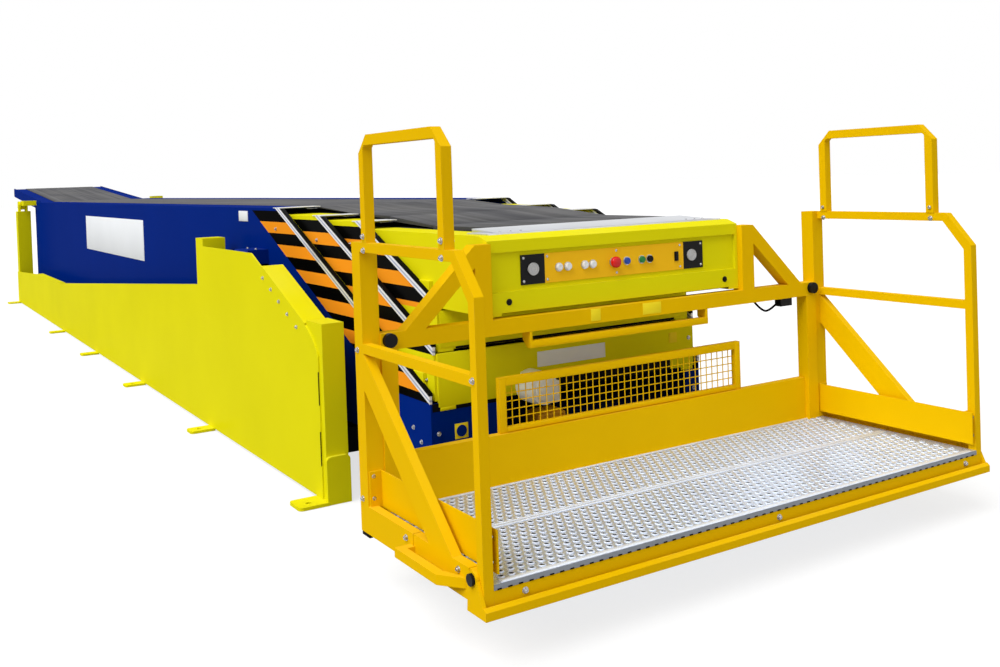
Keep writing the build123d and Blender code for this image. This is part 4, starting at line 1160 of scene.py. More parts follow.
@dataclass
class MainBoom:
    """Main boom: blue box with its hazard band, tail, belt, bare plates and front bolts.

    Attributes:
        half_width: Outer face of the sides.
        plates: X and Z borders of each bare plate on the sides.
        plate_depth: Thickness of those plates.
        side_bolts: X and Z of the bolts on each side.
        front_bolts: Places of the bolts on the front, mirrored.
        lift_bolts: Places of the bolts on top of the lift bracket, mirrored.
        square: Low and high corner of the bare square plate on the front.
        disc: Middle of the foot of the plain disc on it.
        disc_size: Radius and depth of that disc.
        pan_block: Low and high corner of the block in the front pan.
        gap_shades: Low and high corner of each near-black strip painted as shade in the gap over the front cheeks.
        bolt: The bolt head used.
    """

    half_width: float = 0.6
    plates: tuple[tuple[Span, Span], ...] = (
        ((-1.2, 0.83), (0.705, 0.978)), ((2.872, 3.008), (1.012, 1.062)),
    )
    plate_depth: float = 0.002
    side_bolts: tuple[Span, ...] = ((4.704, 0.334), (4.655, 0.293), (4.76, 0.294), (3.397, 0.985))
    front_bolts: tuple[Place, ...] = ((4.833, -0.572, 0.331),)
    lift_bolts: tuple[Place, ...] = ((3.125, -0.645, 0.8882), (3.245, -0.645, 0.8882))
    square: Corners = ((4.833, -0.511, 0.303), (4.834, -0.459, 0.355))
    disc: Place = (4.8345, -0.485, 0.329)
    disc_size: Span = (0.02, 0.0008)
    disc_step: Span = (0.005, 0.0004)
    pan_block: Corners = ((4.7, -0.14, 0.256), (4.79, -0.02, 0.322))
    block_top_step: Span = (0.012, 0.008)
    block_front_step: Span = (0.01, -0.004)
    block_round: float = 0.003
    gap_shades: tuple[Corners, ...] = (
        ((4.833, -0.594, 0.406), (4.8335, -0.309, 0.434)), ((4.833, 0.529, 0.406), (4.8335, 0.594, 0.434)),
    )
    gap_step: Span = (0.001, 0.0003)
    bolt: Bolt = Bolt()

    def dress(self) -> None:
        """Paints the main boom."""
        dress(MAIN_SIDE, "main_side_left", "main_side_right")
        dress(BLUE, "main_pan", "main_tail")
        dress(ZINC, "main_deck", "tail_roller")
        dress(BELT, "main_belt", "tail_belt")
        dress(TRIMS["main"], "main_trim")
        dress(MAIN_PAD, "main_pads")
        dress(BRACKETS, "main_brackets")

    def build(self) -> None:
        """Adds the bare plates, the bolts, painted shade in the front gaps, the block in the pan and the edge
        rubber.
        """
        depths = (self.half_width, self.half_width + self.plate_depth)
        plates = [bare_plate(*on_side(side, xs, depths, zs), side) for xs, zs in self.plates for side in SIDES]
        hand_over("main_bare_plates", plates, Body.MAIN, "button_white", WHITE_PLATE)
        places = outward(both_sides((x, -self.half_width, z) for x, z in self.side_bolts))
        places += aimed(both_sides(self.front_bolts), Facing.FRONT)
        places += aimed(both_sides(self.lift_bolts), Facing.UP)
        hand_over("main_bolts", self.bolt.heads(places), Body.MAIN, "rod_chrome")
        square = fill_slots(bare_plate(*self.square, Facing.FRONT), LEMON_PLATE)
        disc = fill_slots(turned(self.disc, *self.disc_size, Facing.FRONT, 32, self.disc_step), BLUE)
        hand_over("main_square_plate", [square, disc], Body.MAIN, "panel_gold")
        # Near-black strips over the front cheeks: painted shade in the gap under the first section's panel.
        gap_shades = [block(*corners, Facing.FRONT, self.gap_step) for corners in self.gap_shades]
        hand_over("main_front_gap_shade", gap_shades, Body.MAIN, "black_metal", HOLE_SHADE)
        pan_block = block(*self.pan_block, Facing.UP, self.block_top_step)
        step_face(pan_block, Facing.FRONT, self.block_front_step)
        soften(pan_block, self.block_round)
        hand_over("main_pan_block", [pan_block], Body.MAIN, "panel_gold", AMBER_PAINT)
        EdgeRubber("main", Body.MAIN).build()


Plates = tuple[tuple[str, Body, Place, Place, str, Finish], ...]


@dataclass
class InnerBooms:
    """The three sliding sections with their belts, decks, trims and front panels.

    Attributes:
        plates: Name, body, corners, record slot and finish of each flat piece on the fronts.
        tab: Corners of the tab under the first front panel, mirrored.
        laps: Name, body, and rear and front end of each stretch of belt over a step.
        belt_half: Half width of the belt.
        nose_plate: Rear and front end of the sloped plate after the belt.
        nose_half: Half width of that plate.
        rivets: Places of its rivets, mirrored.
        rivet: The rivet head used.
        motor: Middle of the drive motor's foot on the first section's front panel.
        cover_size: Radius and depth of the motor's round cover.
        case: Low and high corner of the gear case, from the motor's middle.
        first_plates: Bare plates on the first section's front, in the same form as the plates.
        first_bolts: Places of the first section's side bolts, mirrored.
        second_bolts: Places of the second section's side bolts, mirrored.
        front_bolt: Place of the bolt beside the small plate.
        bolt: The bolt head used.
    """

    plates: Plates = (
        ("first_front_panel", Body.FIRST, (4.827, -0.57, 0.42), (4.836, 0.57, 0.6), "base_yellow", LIME),
        ("second_front_panel", Body.SECOND, (4.821, -0.549, 0.616), (4.823, 0.549, 0.739), "base_yellow", LIME),
        # The two recess strips are near black: painted shade in the recesses under the front panels.
        ("first_front_recess_shade", Body.FIRST, (4.836, -0.12, 0.42), (4.837, 0.45, 0.482), "black_metal", HOLE_SHADE),
        ("second_front_recess_shade", Body.SECOND, (4.821, -0.49, 0.6085), (4.8225, 0.49, 0.6155), "black_metal",
         HOLE_SHADE),
    )
    tab: Corners = ((4.8345, -0.565, 0.407), (4.836, -0.505, 0.4205))
    laps: tuple[tuple[str, Body, Place, Place], ...] = (
        ("first_belt_lap", Body.FIRST, (3.7455, 1.0492, 1.056), (4.1636, 1.0382, 1.045)),
        ("second_belt_lap", Body.SECOND, (4.165, 1.0312, 1.045), (4.5209, 1.0092, 1.016)),
        ("nose_belt", Body.THIRD, (4.5221, 1.0022, 1.016), (4.905, 1.0022, 1.0165)),
    )
    belt_half: float = 0.4
    belt_round: float = 0.0008
    nose_plate: Corners = ((4.905, 1.0022, 1.0168), (5.078, 1.0062, 1.0072))
    nose_half: float = 0.46
    nose_round: float = 0.0004
    rivets: tuple[Place, ...] = ((5.05, -0.44, 1.0087), (5.05, -0.4, 1.0087), (5.05, -0.36, 1.0087))
    rivet: Bolt = Bolt(0.0035, 0.0025)
    motor: Place = (4.836, -0.205, 0.448)
    cover_size: Span = (0.059, 0.066)
    cover_steps: tuple[Span, ...] = ((0.002, 0.004), (0.002, 0.03), (0.014, 0.008), (0.02, 0.004), (0.02, -0.003))
    cover_round: float = 0.002
    case: Corners = ((0.0, 0.0, -0.056), (0.085, 0.07, 0.02))
    case_front_step: Span = (0.012, 0.012)
    case_left_step: Span = (0.012, -0.004)
    case_round: float = 0.005
    first_plates: Plates = (
        ("first_bare_plate", Body.FIRST, (4.8365, -0.168, 0.506), (4.838, 0.135, 0.56), "button_white", WHITE_PLATE),
        ("first_small_plate", Body.FIRST, (4.8365, 0.447, 0.521), (4.838, 0.487, 0.561), "panel_gold", LEMON_PLATE),
    )
    first_bolts: tuple[Place, ...] = ((3.83, -0.579, 0.949), (4.773, -0.579, 0.505))
    second_bolts: tuple[Place, ...] = ((4.121, -0.558, 0.942),)
    front_bolt: Place = (4.8365, 0.547, 0.532)
    bolt: Bolt = Bolt()

    def dress(self) -> None:
        """Paints the sections."""
        for section, finish in (("boom_1", FIRST_SIDE), ("boom_2", SECOND_SIDE), ("boom_3", LIME)):
            dress(finish, f"{section}_side_left", f"{section}_side_right")
            dress(LIME, f"{section}_pan")
            dress(ZINC, f"{section}_deck")
            dress(BELT, f"{section}_belt")
        for section, finish in (("boom_1", FIRST_PAD), ("boom_2", LIME)):
            dress(finish, f"{section}_pads")
            dress(TRIMS[section], f"{section}_trim")

    def build(self) -> None:
        """Adds the edge rubbers, the front panels, the belt laps, the motor, the plates and the bolts."""
        EdgeRubber("boom_1", Body.FIRST).build()
        EdgeRubber("boom_2", Body.SECOND).build()
        self.set_plates(self.plates)
        tabs = pair(bare_plate(*self.tab, Facing.FRONT), *self.tab)
        hand_over("first_front_tabs", tabs, Body.FIRST, "base_yellow", LIME)
        self.build_laps()
        self.build_motor()
        self.set_plates(self.first_plates)
        places = outward(both_sides(self.first_bolts)) + aimed([self.front_bolt], Facing.FRONT)
        hand_over("first_bolts", self.bolt.heads(places), Body.FIRST, "rod_chrome")
        places = outward(both_sides(self.second_bolts))
        hand_over("second_bolts", self.bolt.heads(places), Body.SECOND, "rod_chrome")

    def set_plates(self, plates: Plates) -> None:
        """Sets flat pieces on the sections' fronts."""
        for name, body, low, high, slot, finish in plates:
            hand_over(name, [bare_plate(low, high, Facing.FRONT)], body, slot, finish)

    def build_laps(self) -> None:
        """Models the belt where it runs over the steps between sections, and the plate after it."""
        for name, body, rear, front in self.laps:
            hand_over(name, [wedge(rear, front, self.belt_half, self.belt_round)], body, "belt_rubber", BELT)
        plate = fill_slots(wedge(*self.nose_plate, self.nose_half, self.nose_round), ZINC)
        rivets = self.rivet.heads(aimed(both_sides(self.rivets), Facing.UP))
        hand_over("nose_plate", [plate, *rivets], Body.THIRD, "deck_steel")

    def build_motor(self) -> None:
        """Models the drive motor: a round cover with a domed end, on its gear case."""
        cover = turned(self.motor, *self.cover_size, Facing.FRONT, 40, *self.cover_steps)
        soften(cover, self.cover_round)
        low, high = (tuple(a + b for a, b in zip(self.motor, corner)) for corner in self.case)
        case = block(low, high, Facing.FRONT, self.case_front_step)
        step_face(case, Facing.LEFT, self.case_left_step)
        soften(case, self.case_round)
        hand_over(
            "drive_motor_cover", [cover, case], Body.FIRST, "motor_grey", GREY_PAINT, stands_for="drive_motor"
        )


@dataclass
class ControlBox:
    """Control box: painted box, golden panel, lamps, push-buttons and stop button.

    Attributes:
        panel_z: Height of the row of buttons.
        buttons: Sideways place and head of each push-button.
        ring: Radius and depth of a button's metal ring.
        cap: Radius of the button's head, and height over the panel above which it is coloured.
        stop_y: Sideways place of the stop button.
        collar: Radius and depth of its metal collar.
        flare: How far its head widens forward from the neck, and how many times.
        head: Depth of the head's rim.
        dome: Rim and rise of each ring of the head's dome.
        rocker: Sideways place, half width and half height of the rocker switch.
        rocker_depth: Depth of its frame.
        lamps: Y and Z of each round lamp lens.
        lens: Radius and depth of a lens.
        screw_y: Sideways places of the panel and lamp-plate screws.
        screw_z: Heights of those screws.
        lid_bolts: Y and Z of the dark bolts in the box's front.
        screw: The screw head used.
        bolt: The bolt head used.
    """

    panel_z: float = 0.886
    buttons: tuple[tuple[float, CapKind], ...] = (
        (-0.261, CapKind.WHITE), (-0.225, CapKind.WHITE), (-0.156, CapKind.WHITE), (-0.123, CapKind.WHITE),
        (0.022, CapKind.BLUE), (0.088, CapKind.GREEN), (0.123, CapKind.BLACK),
    )
    ring: Span = (0.0142, 0.005)
    button_steps: tuple[Span, ...] = ((0.002, -0.0025), (0.0008, 0.0085), (0.0022, 0.0012), (0.003, -0.0008))
    cap: Span = (0.0117, 0.003)
    stop_y: float = -0.034
    collar: Span = (0.0165, 0.004)
    neck_step: Span = (0.004, 0.0055)
    flare: Span = (0.002, 1.52)
    head: float = 0.009
    dome: tuple[Span, ...] = ((0.004, 0.004), (0.006, 0.0022))
    rocker: Place = (0.247, 0.008, 0.0165)
    rocker_depth: float = 0.004
    rocker_steps: tuple[Span, ...] = ((0.0018, -0.002), (0.0005, 0.005))
    rocker_round: float = 0.0006
    lamps: tuple[Span, ...] = ((-0.361, 0.887), (0.318, 0.886))
    lens: Span = (0.0205, 0.0055)
    lens_steps: tuple[Span, ...] = ((0.002, -0.0012), (0.004, 0.001), (0.004, -0.001), (0.004, 0.001))
    lens_round: float = 0.0004
    screw_y: tuple[float, ...] = (-0.397, -0.305, -0.02, 0.265, 0.363)
    screw_z: Span = (0.924, 0.849)
    lid_bolts: tuple[Span, ...] = ((-0.461, 0.79), (0.469, 0.787))
    screw: Bolt = Bolt(0.0034, 0.0025)
    bolt: Bolt = Bolt(0.008, 0.006)

    def dress(self) -> None:
        """Paints the box and its panel."""
        dress(LIME, "control_box")
        dress(PANEL_PAINT, "control_panel")
        dress(BLACK_PLASTIC, "control_lamps")

    def button(self, place: Place, kind: CapKind) -> Piece:
        """Models a push-button: metal ring, recess and domed head.

        Args:
            place: Middle of its foot.
            kind: Colour of its head.

        Returns:
            The button.
        """
        piece = turned(place, *self.ring, Facing.FRONT, 24, *self.button_steps)
        fill_slots(piece, ZINC, kind.value)
        x, y, z = place
        radius, height = self.cap
        paint_faces(piece, lambda at, _: math.hypot(at.y - y, at.z - z) < radius and at.x > x + height)
        smooth(piece, 35)
        return piece

    def stop(self, place: Place) -> Piece:
        """Models the mushroom stop button: collar, neck and a wide domed head.

        Args:
            place: Middle of its foot.

        Returns:
            The stop button.
        """
        x, y, z = place
        tip = x + self.collar[1] + self.neck_step[1]
        run, widening = self.flare
        piece = turned(place, *self.collar, Facing.FRONT, 32, self.neck_step)
        pick_faces(piece, lambda at, normal: normal.x > 0.9 and at.x > tip - TOUCH)
        extrude((run, 0.0, 0.0))
        bpy.ops.transform.resize(value=(1.0, widening, widening), center_override=(tip + run, y, z))
        extrude((self.head, 0.0, 0.0))
        for rim, rise in self.dome:
            bpy.ops.mesh.inset(thickness=rim, depth=rise)
        leave_edit()
        fill_slots(piece, ZINC, CapKind.RED.value)
        paint_faces(piece, lambda at, _: at.x > tip + TOUCH)
        smooth(piece, 50)
        return piece

    def switch(self, face: float) -> Piece:
        """Models the rocker switch.

        Args:
            face: X of the panel's front.

        Returns:
            The switch.
        """
        y, wide, tall = self.rocker
        low = (face, y - wide, self.panel_z - tall)
        high = (face + self.rocker_depth, y + wide, self.panel_z + tall)
        piece = block(low, high, Facing.FRONT, *self.rocker_steps, rounding=self.rocker_round)
        return fill_slots(piece, BLACK_PLASTIC)

    def build(self) -> None:
        """Adds the buttons, the rocker, the stop button, the lamp lenses and the screws."""
        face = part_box("control_panel")[1][0]
        row = [self.button((face, y, self.panel_z), kind) for y, kind in self.buttons]
        row.append(self.switch(face))
        hand_over("control_button_row", row, Body.THIRD, "button_white", stands_for="control_buttons")
        stop = self.stop((face, self.stop_y, self.panel_z))
        hand_over("emergency_stop_head", [stop], Body.THIRD, "button_red", stands_for="emergency_stop")
        lenses = [turned((face, y, z), *self.lens, Facing.FRONT, 32, *self.lens_steps) for y, z in self.lamps]
        for lens in lenses:
            soften(lens, self.lens_round)
        hand_over("lamp_lenses", lenses, Body.THIRD, "motor_grey", GREY_PLASTIC)
        screws = aimed([(face, y, z) for y in self.screw_y for z in self.screw_z], Facing.FRONT)
        hand_over("panel_screws", self.screw.heads(screws), Body.THIRD, "rod_chrome")
        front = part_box("control_box")[1][0]
        lid = aimed([(front, y, z) for y, z in self.lid_bolts], Facing.FRONT)
        hand_over("lid_bolts", self.bolt.heads(lid, BLACK_PLASTIC), Body.THIRD, "black_plastic")


@dataclass
class Platform:
    """Operator platform: guards, hoops, beam, mesh, floor planks, safety bar and their hardware.

    Attributes:
        pitch_y: Distance between holes along a plank.
        pitch_x: Distance between the rows of holes.
        collar: Outer radius of the raised hole rims.
        rim: Width of the raised rim.
        rise: Height of the raised rim.
        rim_foot: Height of the rim's upright foot, as a share of the rise.
        rim_steps: Steps from the foot to the hole's floor, as shares of the rim and the rise.
        floor: Height under which the inside is painted near black as shade, as a share of the rise.
        stagger: Sideways shift of every row, in turn left and right, as a share of the pitch.
        planks: X of the first row and number of rows on each plank.
        holes: Holes in a row.
        slots: Slots along the front edge, drawn as near-black painted shade.
        slot: Low and high corner of the first slot, from the planks' front right lower corner.
        lips: Rear and front X of each rolled plank edge.
        lip_half: Half length of the rolled edges.
        lip_rise: Height of the rolled edges below their rounded top.
        edge_depth: Thickness of the planks' front strip.
        outer_bolts: Places of the bolts on the guards' outer faces, mirrored.
        inner_bolts: Places of the bolts on the guards' inner faces, mirrored.
        front_bolts: Places of the bolts that look forward.
        beam_plates: Lowest and highest corner, Y and Z, of the bare plates on the beam.
        plate_depth: Thickness of those plates.
        foot: Corners of the rubber foot under the right rear post, mirrored.
        mesh_bars: Width of the wire guard's side, top and bottom bars.
        mesh_short: How far the guard's left end and top stay inside the solid's.
        mesh_lift: How far its bottom bar lies over the solid's lower edge.
        mesh_pitch: Distance between the wires of the guard.
        wire: Radius of the wires.
        wire_back: How far the level wires lie behind the uprights, in radii.
        grab_size: Height of the grab bar.
        grab_plate: Thickness of its brackets.
        grab_ends: How far its right and left ends lie to the left of the solid's.
        grab_back: How far its brackets stay ahead of the beam's rear.
        grab_slip: How far brackets and bar lie over each other.
        grab_cut: Size of the brackets' cut rear corner.
        bolt: The bolt head used.
    """

    pitch_y: float = 0.0305
    pitch_x: float = 0.028
    collar: float = 0.0108
    rim: float = 0.003
    rise: float = 0.0024
    rim_foot: float = 0.55
    rim_steps: tuple[Span, ...] = ((0.45, 0.45), (0.55, -0.9))
    floor: float = 0.2
    stagger: float = 0.25
    planks: tuple[tuple[float, int], ...] = ((5.748, 11), (5.409, 10))
    holes: int = 60
    slots: int = 62
    slot: Corners = ((0.0, 0.009, 0.0), (0.0022, 0.021, 0.0035))
    slot_step: Span = (0.0008, -0.0005)
    lips: tuple[Span, ...] = ((5.764, 5.784), (5.437, 5.449), (5.422, 5.434), (5.129, 5.139))
    lip_half: float = 0.925
    lip_rise: float = 0.0015
    lip_step: Span = (0.003, 0.001)
    lip_round: float = 0.001
    edge_depth: float = 0.001
    edge_step: Span = (0.001, 0.0004)
    outer_bolts: tuple[Place, ...] = (
        (5.173, -0.977, 1.03), (5.173, -0.977, 0.99), (5.634, -0.977, 1.034), (5.634, -0.977, 0.991),
        (5.107, -0.977, 0.697), (5.766, -0.977, 0.706), (5.107, -0.977, 0.261), (5.382, -0.977, 0.224),
        (5.665, -0.977, 0.226),
    )
    inner_bolts: tuple[Place, ...] = (
        (5.173, 0.949, 1.028), (5.173, 0.949, 0.988), (5.634, 0.949, 1.031), (5.634, 0.949, 0.993),
        (5.77, 0.949, 0.329), (5.77, 0.949, 0.268),
    )
    front_bolts: tuple[Place, ...] = (
        (5.142, -0.96, 0.332), (5.142, -0.96, 0.268), (5.142, 0.96, 0.332), (5.142, 0.96, 0.268),
        (5.784, -0.861, 0.185), (5.784, 0.012, 0.185), (5.784, 0.887, 0.185),
    )
    beam_plates: tuple[tuple[Span, Span], ...] = (
        ((-0.159, 0.7), (-0.119, 0.74)), ((0.062, 0.7), (0.143, 0.739)),
    )
    plate_depth: float = 0.001
    foot: Corners = ((5.09, -0.976, 0.152), (5.14, -0.924, 0.163))
    foot_step: Span = (0.002, 0.0005)
    foot_round: float = 0.002
    mesh_bars: Place = (0.025, 0.027, 0.017)
    mesh_short: Span = (0.008, 0.01)
    mesh_lift: float = 0.002
    mesh_step: Span = (0.002, 0.0005)
    mesh_pitch: float = 0.0272
    wire: float = 0.0018
    wire_back: float = 1.6
    bar_round: float = 0.0015
    grab_size: float = 0.023
    grab_step: Span = (0.003, 0.0006)
    grab_plate: float = 0.01
    grab_ends: Span = (0.033, 0.024)
    grab_back: float = 0.004
    grab_slip: float = 0.0005
    grab_cut: float = 0.025
    bolt: Bolt = Bolt(0.0065, 0.008)

    def dress(self) -> None:
        """Paints the platform and its safety bar."""
        dress(
            GOLD, "hanger_beam", "hanger_posts", "back_board", "floor_frame", "guard_left", "guard_right",
            "guard_hoops", "side_bumpers", "safety_bar",
        )
        dress(GRATING, "floor_planks")
        dress(BLACK_PLASTIC, "pin_caps", "end_sensor")

    def hole(self) -> Piece:
        """Models one raised hole rim, open below, at the origin, its floor painted near black as shade.

        Returns:
            The rim.
        """
        rise = self.rise
        steps = [(wide * self.rim, up * rise) for wide, up in self.rim_steps]
        piece = turned((0.0, 0.0, 0.0), self.collar, self.rim_foot * rise, Facing.UP, 10, *steps)
        # Rims in the paler zinc, a painted highlight; the hole's floor in near black.
        fill_slots(piece, RIM_ZINC_AND_HIGHLIGHT, HOLE_SHADE)
        # Faces at the hole's floor go near black: painted shade inside the hole.
        paint_faces(piece, lambda at, normal: normal.z > 0.9 and at.z < self.floor * rise)
        pick_faces(piece, lambda _, normal: normal.z < -0.9)
        bpy.ops.mesh.delete(type="FACE")
        leave_edit()
        return piece

    def build_planks(self) -> None:
        """Sets the raised holes in staggered rows on the planks, with rolled edges and front slots; paler rims and
        edges are painted highlight, the dark hole floors, slots and front strip painted shade.
        """
        low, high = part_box("floor_planks")
        top, front = high[2], high[0]
        start = -(self.holes - 1) / 2 * self.pitch_y
        row = self.hole()
        spread(row, self.holes, (0.0, self.pitch_y, 0.0))
        moves = []
        for first, count in self.planks:
            for step in range(count):
                shift = (self.stagger if step % 2 else -self.stagger) * self.pitch_y
                moves.append(Matrix.Translation((first - step * self.pitch_x, start + shift, top)))
        hand_over("plank_holes", copies(row, moves), Body.THIRD, "grating")
        edges = []
        for lip in self.lips:
            corners = (lip[0], -self.lip_half, top), (lip[1], self.lip_half, top + self.lip_rise)
            edges.append(block(*corners, Facing.UP, self.lip_step, rounding=self.lip_round))
        corners = (front, low[1], low[2]), (front + self.edge_depth, high[1], top)
        strip = block(*corners, Facing.FRONT, self.edge_step)
        # The front strip is darker than the planks: painted shade on their front face.
        hand_over("plank_front_edge", [strip], Body.THIRD, "grating", EDGE_STEEL_SHADE)
        # Rolled edges in the paler zinc: painted highlight along them.
        hand_over("plank_edges", edges, Body.THIRD, "grating", RIM_ZINC_AND_HIGHLIGHT)
        corners = ((front + x, low[1] + y, low[2] + z) for x, y, z in self.slot)
        # Near-black slots along the front edge: painted shade.
        slot = block(*corners, Facing.FRONT, self.slot_step)
        spread(slot, self.slots, (0.0, self.pitch_y, 0.0))
        hand_over("plank_slot_shades", [slot], Body.THIRD, "black_plastic", HOLE_SHADE)

    def build_mesh(self) -> None:
        """Models the wire guard: a welded frame with square wire mesh."""
        (rear, right, foot), (front, left, top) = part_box("mesh_guard")
        left, top = left - self.mesh_short[0], top - self.mesh_short[1]
        side, upper, lower = self.mesh_bars
        inner_right, inner_left = right + side, left - side
        corners = (
            ((rear, right, foot), (front, inner_right, top)),
            ((rear, inner_left, foot), (front, left, top)),
            ((rear, inner_right, top - upper), (front, inner_left, top)),
            ((rear, inner_right, foot + self.mesh_lift), (front, inner_left, foot + lower)),
        )
        bars = [block(*bar, Facing.FRONT, self.mesh_step, rounding=self.bar_round) for bar in corners]
        width, tall = inner_left - inner_right, top - foot - upper - lower
        columns, rows = int(width / self.mesh_pitch), int(tall / self.mesh_pitch)
        pitch_y, pitch_z = width / (columns + 1), tall / (rows + 1)
        middle, tip = (rear + front) / 2, (self.wire / 4, self.wire / 4)
        start = (middle, inner_right + pitch_y, foot + lower)
        uprights = turned(start, self.wire, tall, Facing.UP, 8, tip)
        spread(uprights, columns, (0.0, pitch_y, 0.0))
        start = (middle - self.wire_back * self.wire, inner_right, foot + lower + pitch_z)
        cross = turned(start, self.wire, width, Facing.LEFT, 8, tip)
        spread(cross, rows, (0.0, 0.0, pitch_z))
        parts = [*bars, uprights, cross]
        hand_over("wire_guard", parts, Body.THIRD, "platform_yellow", GOLD, stands_for="mesh_guard")

    def build_grab_bar(self) -> None:
        """Models the grab bar: a bar between two bracket plates under the beam."""
        low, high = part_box("grab_bar")
        beam_low, beam_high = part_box("hanger_beam")
        front, rear, foot = beam_high[0], beam_low[0] + self.grab_back, low[2]
        right, left = low[1] + self.grab_ends[0], high[1] + self.grab_ends[1]
        corners = (front - self.grab_size, right, foot), (front, left, foot + self.grab_size)
        parts = [block(*corners, Facing.FRONT, self.grab_step)]
        slip = self.grab_slip
        for y in (right - slip, left - self.grab_plate + slip):
            bracket = start_box((rear, y, foot - slip), (front - slip, y + self.grab_plate, beam_low[2]))
            pick_edges(bracket, lambda a, b: max(a.x, b.x) < rear + TOUCH and max(a.z, b.z) < foot)
            bpy.ops.mesh.bevel(offset=self.grab_cut, segments=1)
            leave_edit()
            parts.append(bracket)
        for part in parts:
            soften(part, self.bar_round)
        hand_over("grab_rail", parts, Body.THIRD, "platform_yellow", GOLD, stands_for="grab_bar")

    def build(self) -> None:
        """Adds the planks' holes, the wire guard, the grab bar, the bolts, the plates and the feet."""
        self.build_planks()
        self.build_mesh()
        self.build_grab_bar()
        places = outward(both_sides(self.outer_bolts)) + outward(both_sides(self.inner_bolts), -1.0)
        places += aimed(self.front_bolts, Facing.FRONT)
        hand_over("platform_bolts", self.bolt.heads(places), Body.THIRD, "rod_chrome")
        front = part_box("hanger_beam")[1][0]
        plates = [
            bare_plate((front, *low), (front + self.plate_depth, *high), Facing.FRONT)
            for low, high in self.beam_plates
        ]
        hand_over("beam_bare_plates", plates, Body.THIRD, "panel_gold", LEMON_PLATE)
        foot = block(*self.foot, Facing.RIGHT, self.foot_step, rounding=self.foot_round)
        hand_over("platform_feet", pair(foot, *self.foot), Body.THIRD, "cable_black", RUBBER)


@dataclass
class SensorLead:
    """Short lead of the end sensor, hanging in a loop under the beam.

    Attributes:
        route: Points that the lead follows.
        diameter: Its diameter.
        length: Its length along the route; not used.
    """

    route: tuple[Place, ...] = (
        (5.124, 0.740, 0.677), (5.124, 0.698, 0.651), (5.124, 0.656, 0.651), (5.124, 0.614, 0.692)
    )
    diameter: float = 0.008
    length: float = 0.145

    def build(self) -> None:
        """Draws the lead as one smooth curve."""
        curve = bpy.data.curves.new("sensor_cable", "CURVE")
        curve.dimensions = "3D"
        curve.bevel_depth = self.diameter / 2
        curve.bevel_resolution = 4
        curve.resolution_u = 16
        curve.use_fill_caps = True
        spline = curve.splines.new("NURBS")
        spline.points.add(len(self.route) - 1)
        for point, place in zip(spline.points, self.route):
            point.co = (*place, 1.0)
        spline.order_u = 3
        spline.use_endpoint_u = True
        cable = bpy.data.objects.new("sensor_cable", curve)
        bpy.context.collection.objects.link(cable)
        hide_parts("sensor_lead")
        hand_over("sensor_cable", [cable], Body.THIRD, "cable_black", RUBBER)


@dataclass(frozen=True)
class Viewpoint:
    """Camera at the photograph's place.

    Attributes:
        place: Position in metres.
        yaw: Heading in degrees.
        pitch: Tilt in degrees.
        roll: Roll in degrees.
        lens: Focal length in millimetres.
        sensor: Width of the sensor in millimetres.
        reach: How far the camera sees.
        shift: Sideways and upward shift of the picture.
    """

    place: Place = (7.8567, -2.1931, 1.188)
    yaw: float = 148.48
    pitch: float = -1.18
    roll: float = -1.96
    lens: float = 36.91
    sensor: float = 36.0
    reach: float = 200.0
    shift: Span = (0.0097, -0.1356)

    def set_up(self) -> None:
        """Adds the camera and makes it the scene's own."""
        yaw, pitch, roll = (math.radians(a) for a in (self.yaw, self.pitch, self.roll))
        ahead = Vector((math.cos(yaw) * math.cos(pitch), math.sin(yaw) * math.cos(pitch), math.sin(pitch)))
        right = ahead.cross(Vector(Facing.UP.value)).normalized()
        up = right.cross(ahead)
        turned_right = math.cos(roll) * right + math.sin(roll) * up
        turned_up = -math.sin(roll) * right + math.cos(roll) * up
        data = bpy.data.cameras.new("viewpoint")
        data.sensor_width = self.sensor
        data.lens = self.lens
        data.shift_x, data.shift_y = self.shift
        data.clip_end = self.reach
        camera = bpy.data.objects.new("viewpoint", data)
        turn = Matrix((turned_right, turned_up, -ahead)).transposed().to_4x4()
        camera.matrix_world = Matrix.Translation(self.place) @ turn
        bpy.context.collection.objects.link(camera)
        bpy.context.scene.camera = camera


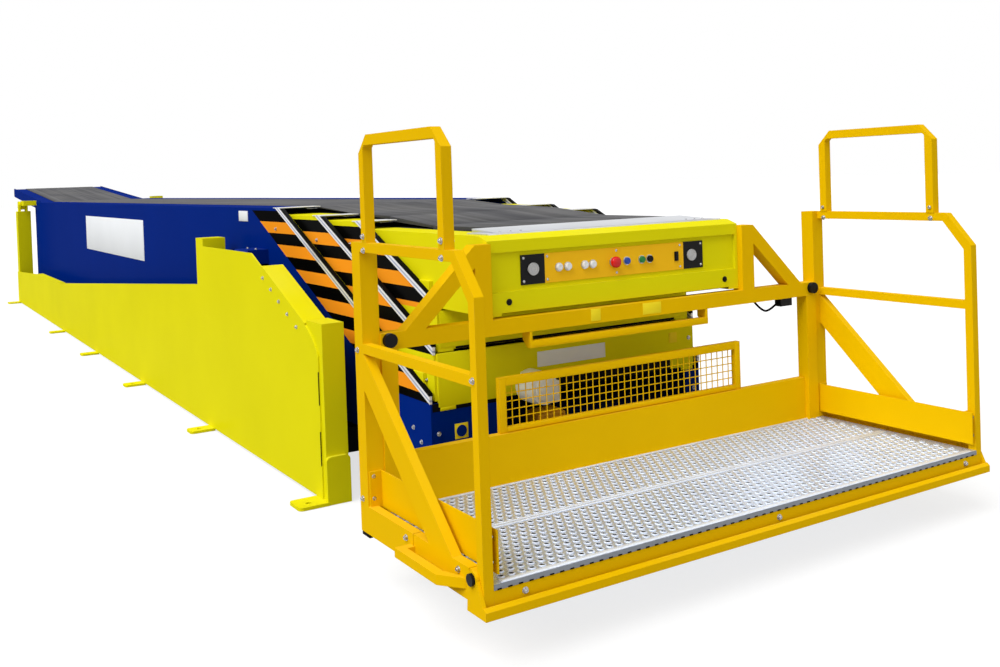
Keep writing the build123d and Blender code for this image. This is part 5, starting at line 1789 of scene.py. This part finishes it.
@dataclass(frozen=True)
class Studio:
    """Pale floor, soft light and white surroundings.

    Attributes:
        ambient: Strength of the even light from all round.
        lamps: Name, strength, direction and apparent size in degrees of each broad lamp.
        floor_size: Length of the floor's sides.
        floor_z: Height of the floor, just under the feet.
        floor_tone: Grey of the floor.
        floor_glow: Light that the floor adds where it is seen.
    """

    ambient: float = 0.3
    lamps: tuple[tuple[str, float, Place, float], ...] = (
        ("key", 3.0, (0.12, -0.62, 0.78), 50.0), ("fill", 0.7, (0.9, 0.2, 0.5), 80.0),
    )
    floor_size: float = 160.0
    floor_z: float = -0.002
    floor_tone: float = 0.3
    floor_glow: float = 0.72

    def light_world(self) -> None:
        """Even light from all round, white where the camera and reflections see it."""
        world = bpy.data.worlds.new("studio")
        bpy.context.scene.world = world
        world.use_nodes = True
        world.node_tree.nodes.clear()
        graph = Graph(world.node_tree)
        seen = graph.seen("Camera", "Glossy", "Transmission")
        strength = graph.ramp(seen, 0.0, 1.0, self.ambient, 1.0)
        sky = graph.add("Background", {"Color": (1.0, 1.0, 1.0, 1.0), "Strength": strength})
        graph.add("OutputWorld", {"Surface": sky.outputs[0]})

    def add_lamps(self) -> None:
        """Adds the broad lamps, each shining from its direction towards the middle."""
        for name, strength, direction, size in self.lamps:
            lamp = bpy.data.lights.new(name, "SUN")
            lamp.energy = strength
            lamp.angle = math.radians(size)
            holder = bpy.data.objects.new(name, lamp)
            holder.rotation_euler = Vector(direction).to_track_quat("Z", "Y").to_euler()
            bpy.context.collection.objects.link(holder)

    def lay_floor(self) -> None:
        """Adds the pale floor, which keeps the object's shadow."""
        deselect()
        bpy.ops.mesh.primitive_plane_add(size=self.floor_size, location=(0.0, 0.0, self.floor_z))
        floor = settle()
        floor.name = floor.data.name = "studio_floor"
        made = bpy.data.materials.new("studio_floor")
        made.use_nodes = True
        graph = Graph(made.node_tree)
        glow = graph.math("MULTIPLY", graph.seen("Camera", "Glossy"), self.floor_glow)
        grey = (self.floor_tone, self.floor_tone, self.floor_tone, 1.0)
        white = (1.0, 1.0, 1.0, 1.0)
        look = {"Base Color": grey, "Roughness": 0.9, "Emission Color": white, "Emission Strength": glow}
        graph.feed(made.node_tree.nodes["Principled BSDF"], look)
        floor.data.materials.append(made)

    def set_up(self) -> None:
        """Sets the light, the floor and the plain view transform."""
        self.light_world()
        self.add_lamps()
        self.lay_floor()
        bpy.context.scene.view_settings.view_transform = "Standard"


def main() -> None:
    """Builds the object's sub-assemblies in order."""
    logging.basicConfig(level=logging.INFO, format="%(name)s %(message)s")
    Viewpoint().set_up()
    SensorLead().build()
    Studio().set_up()
    for part in (BaseFrame(), MainBoom(), InnerBooms(), ControlBox(), Platform()):
        part.dress()
        part.build()


if __name__ == "__main__":
    main()
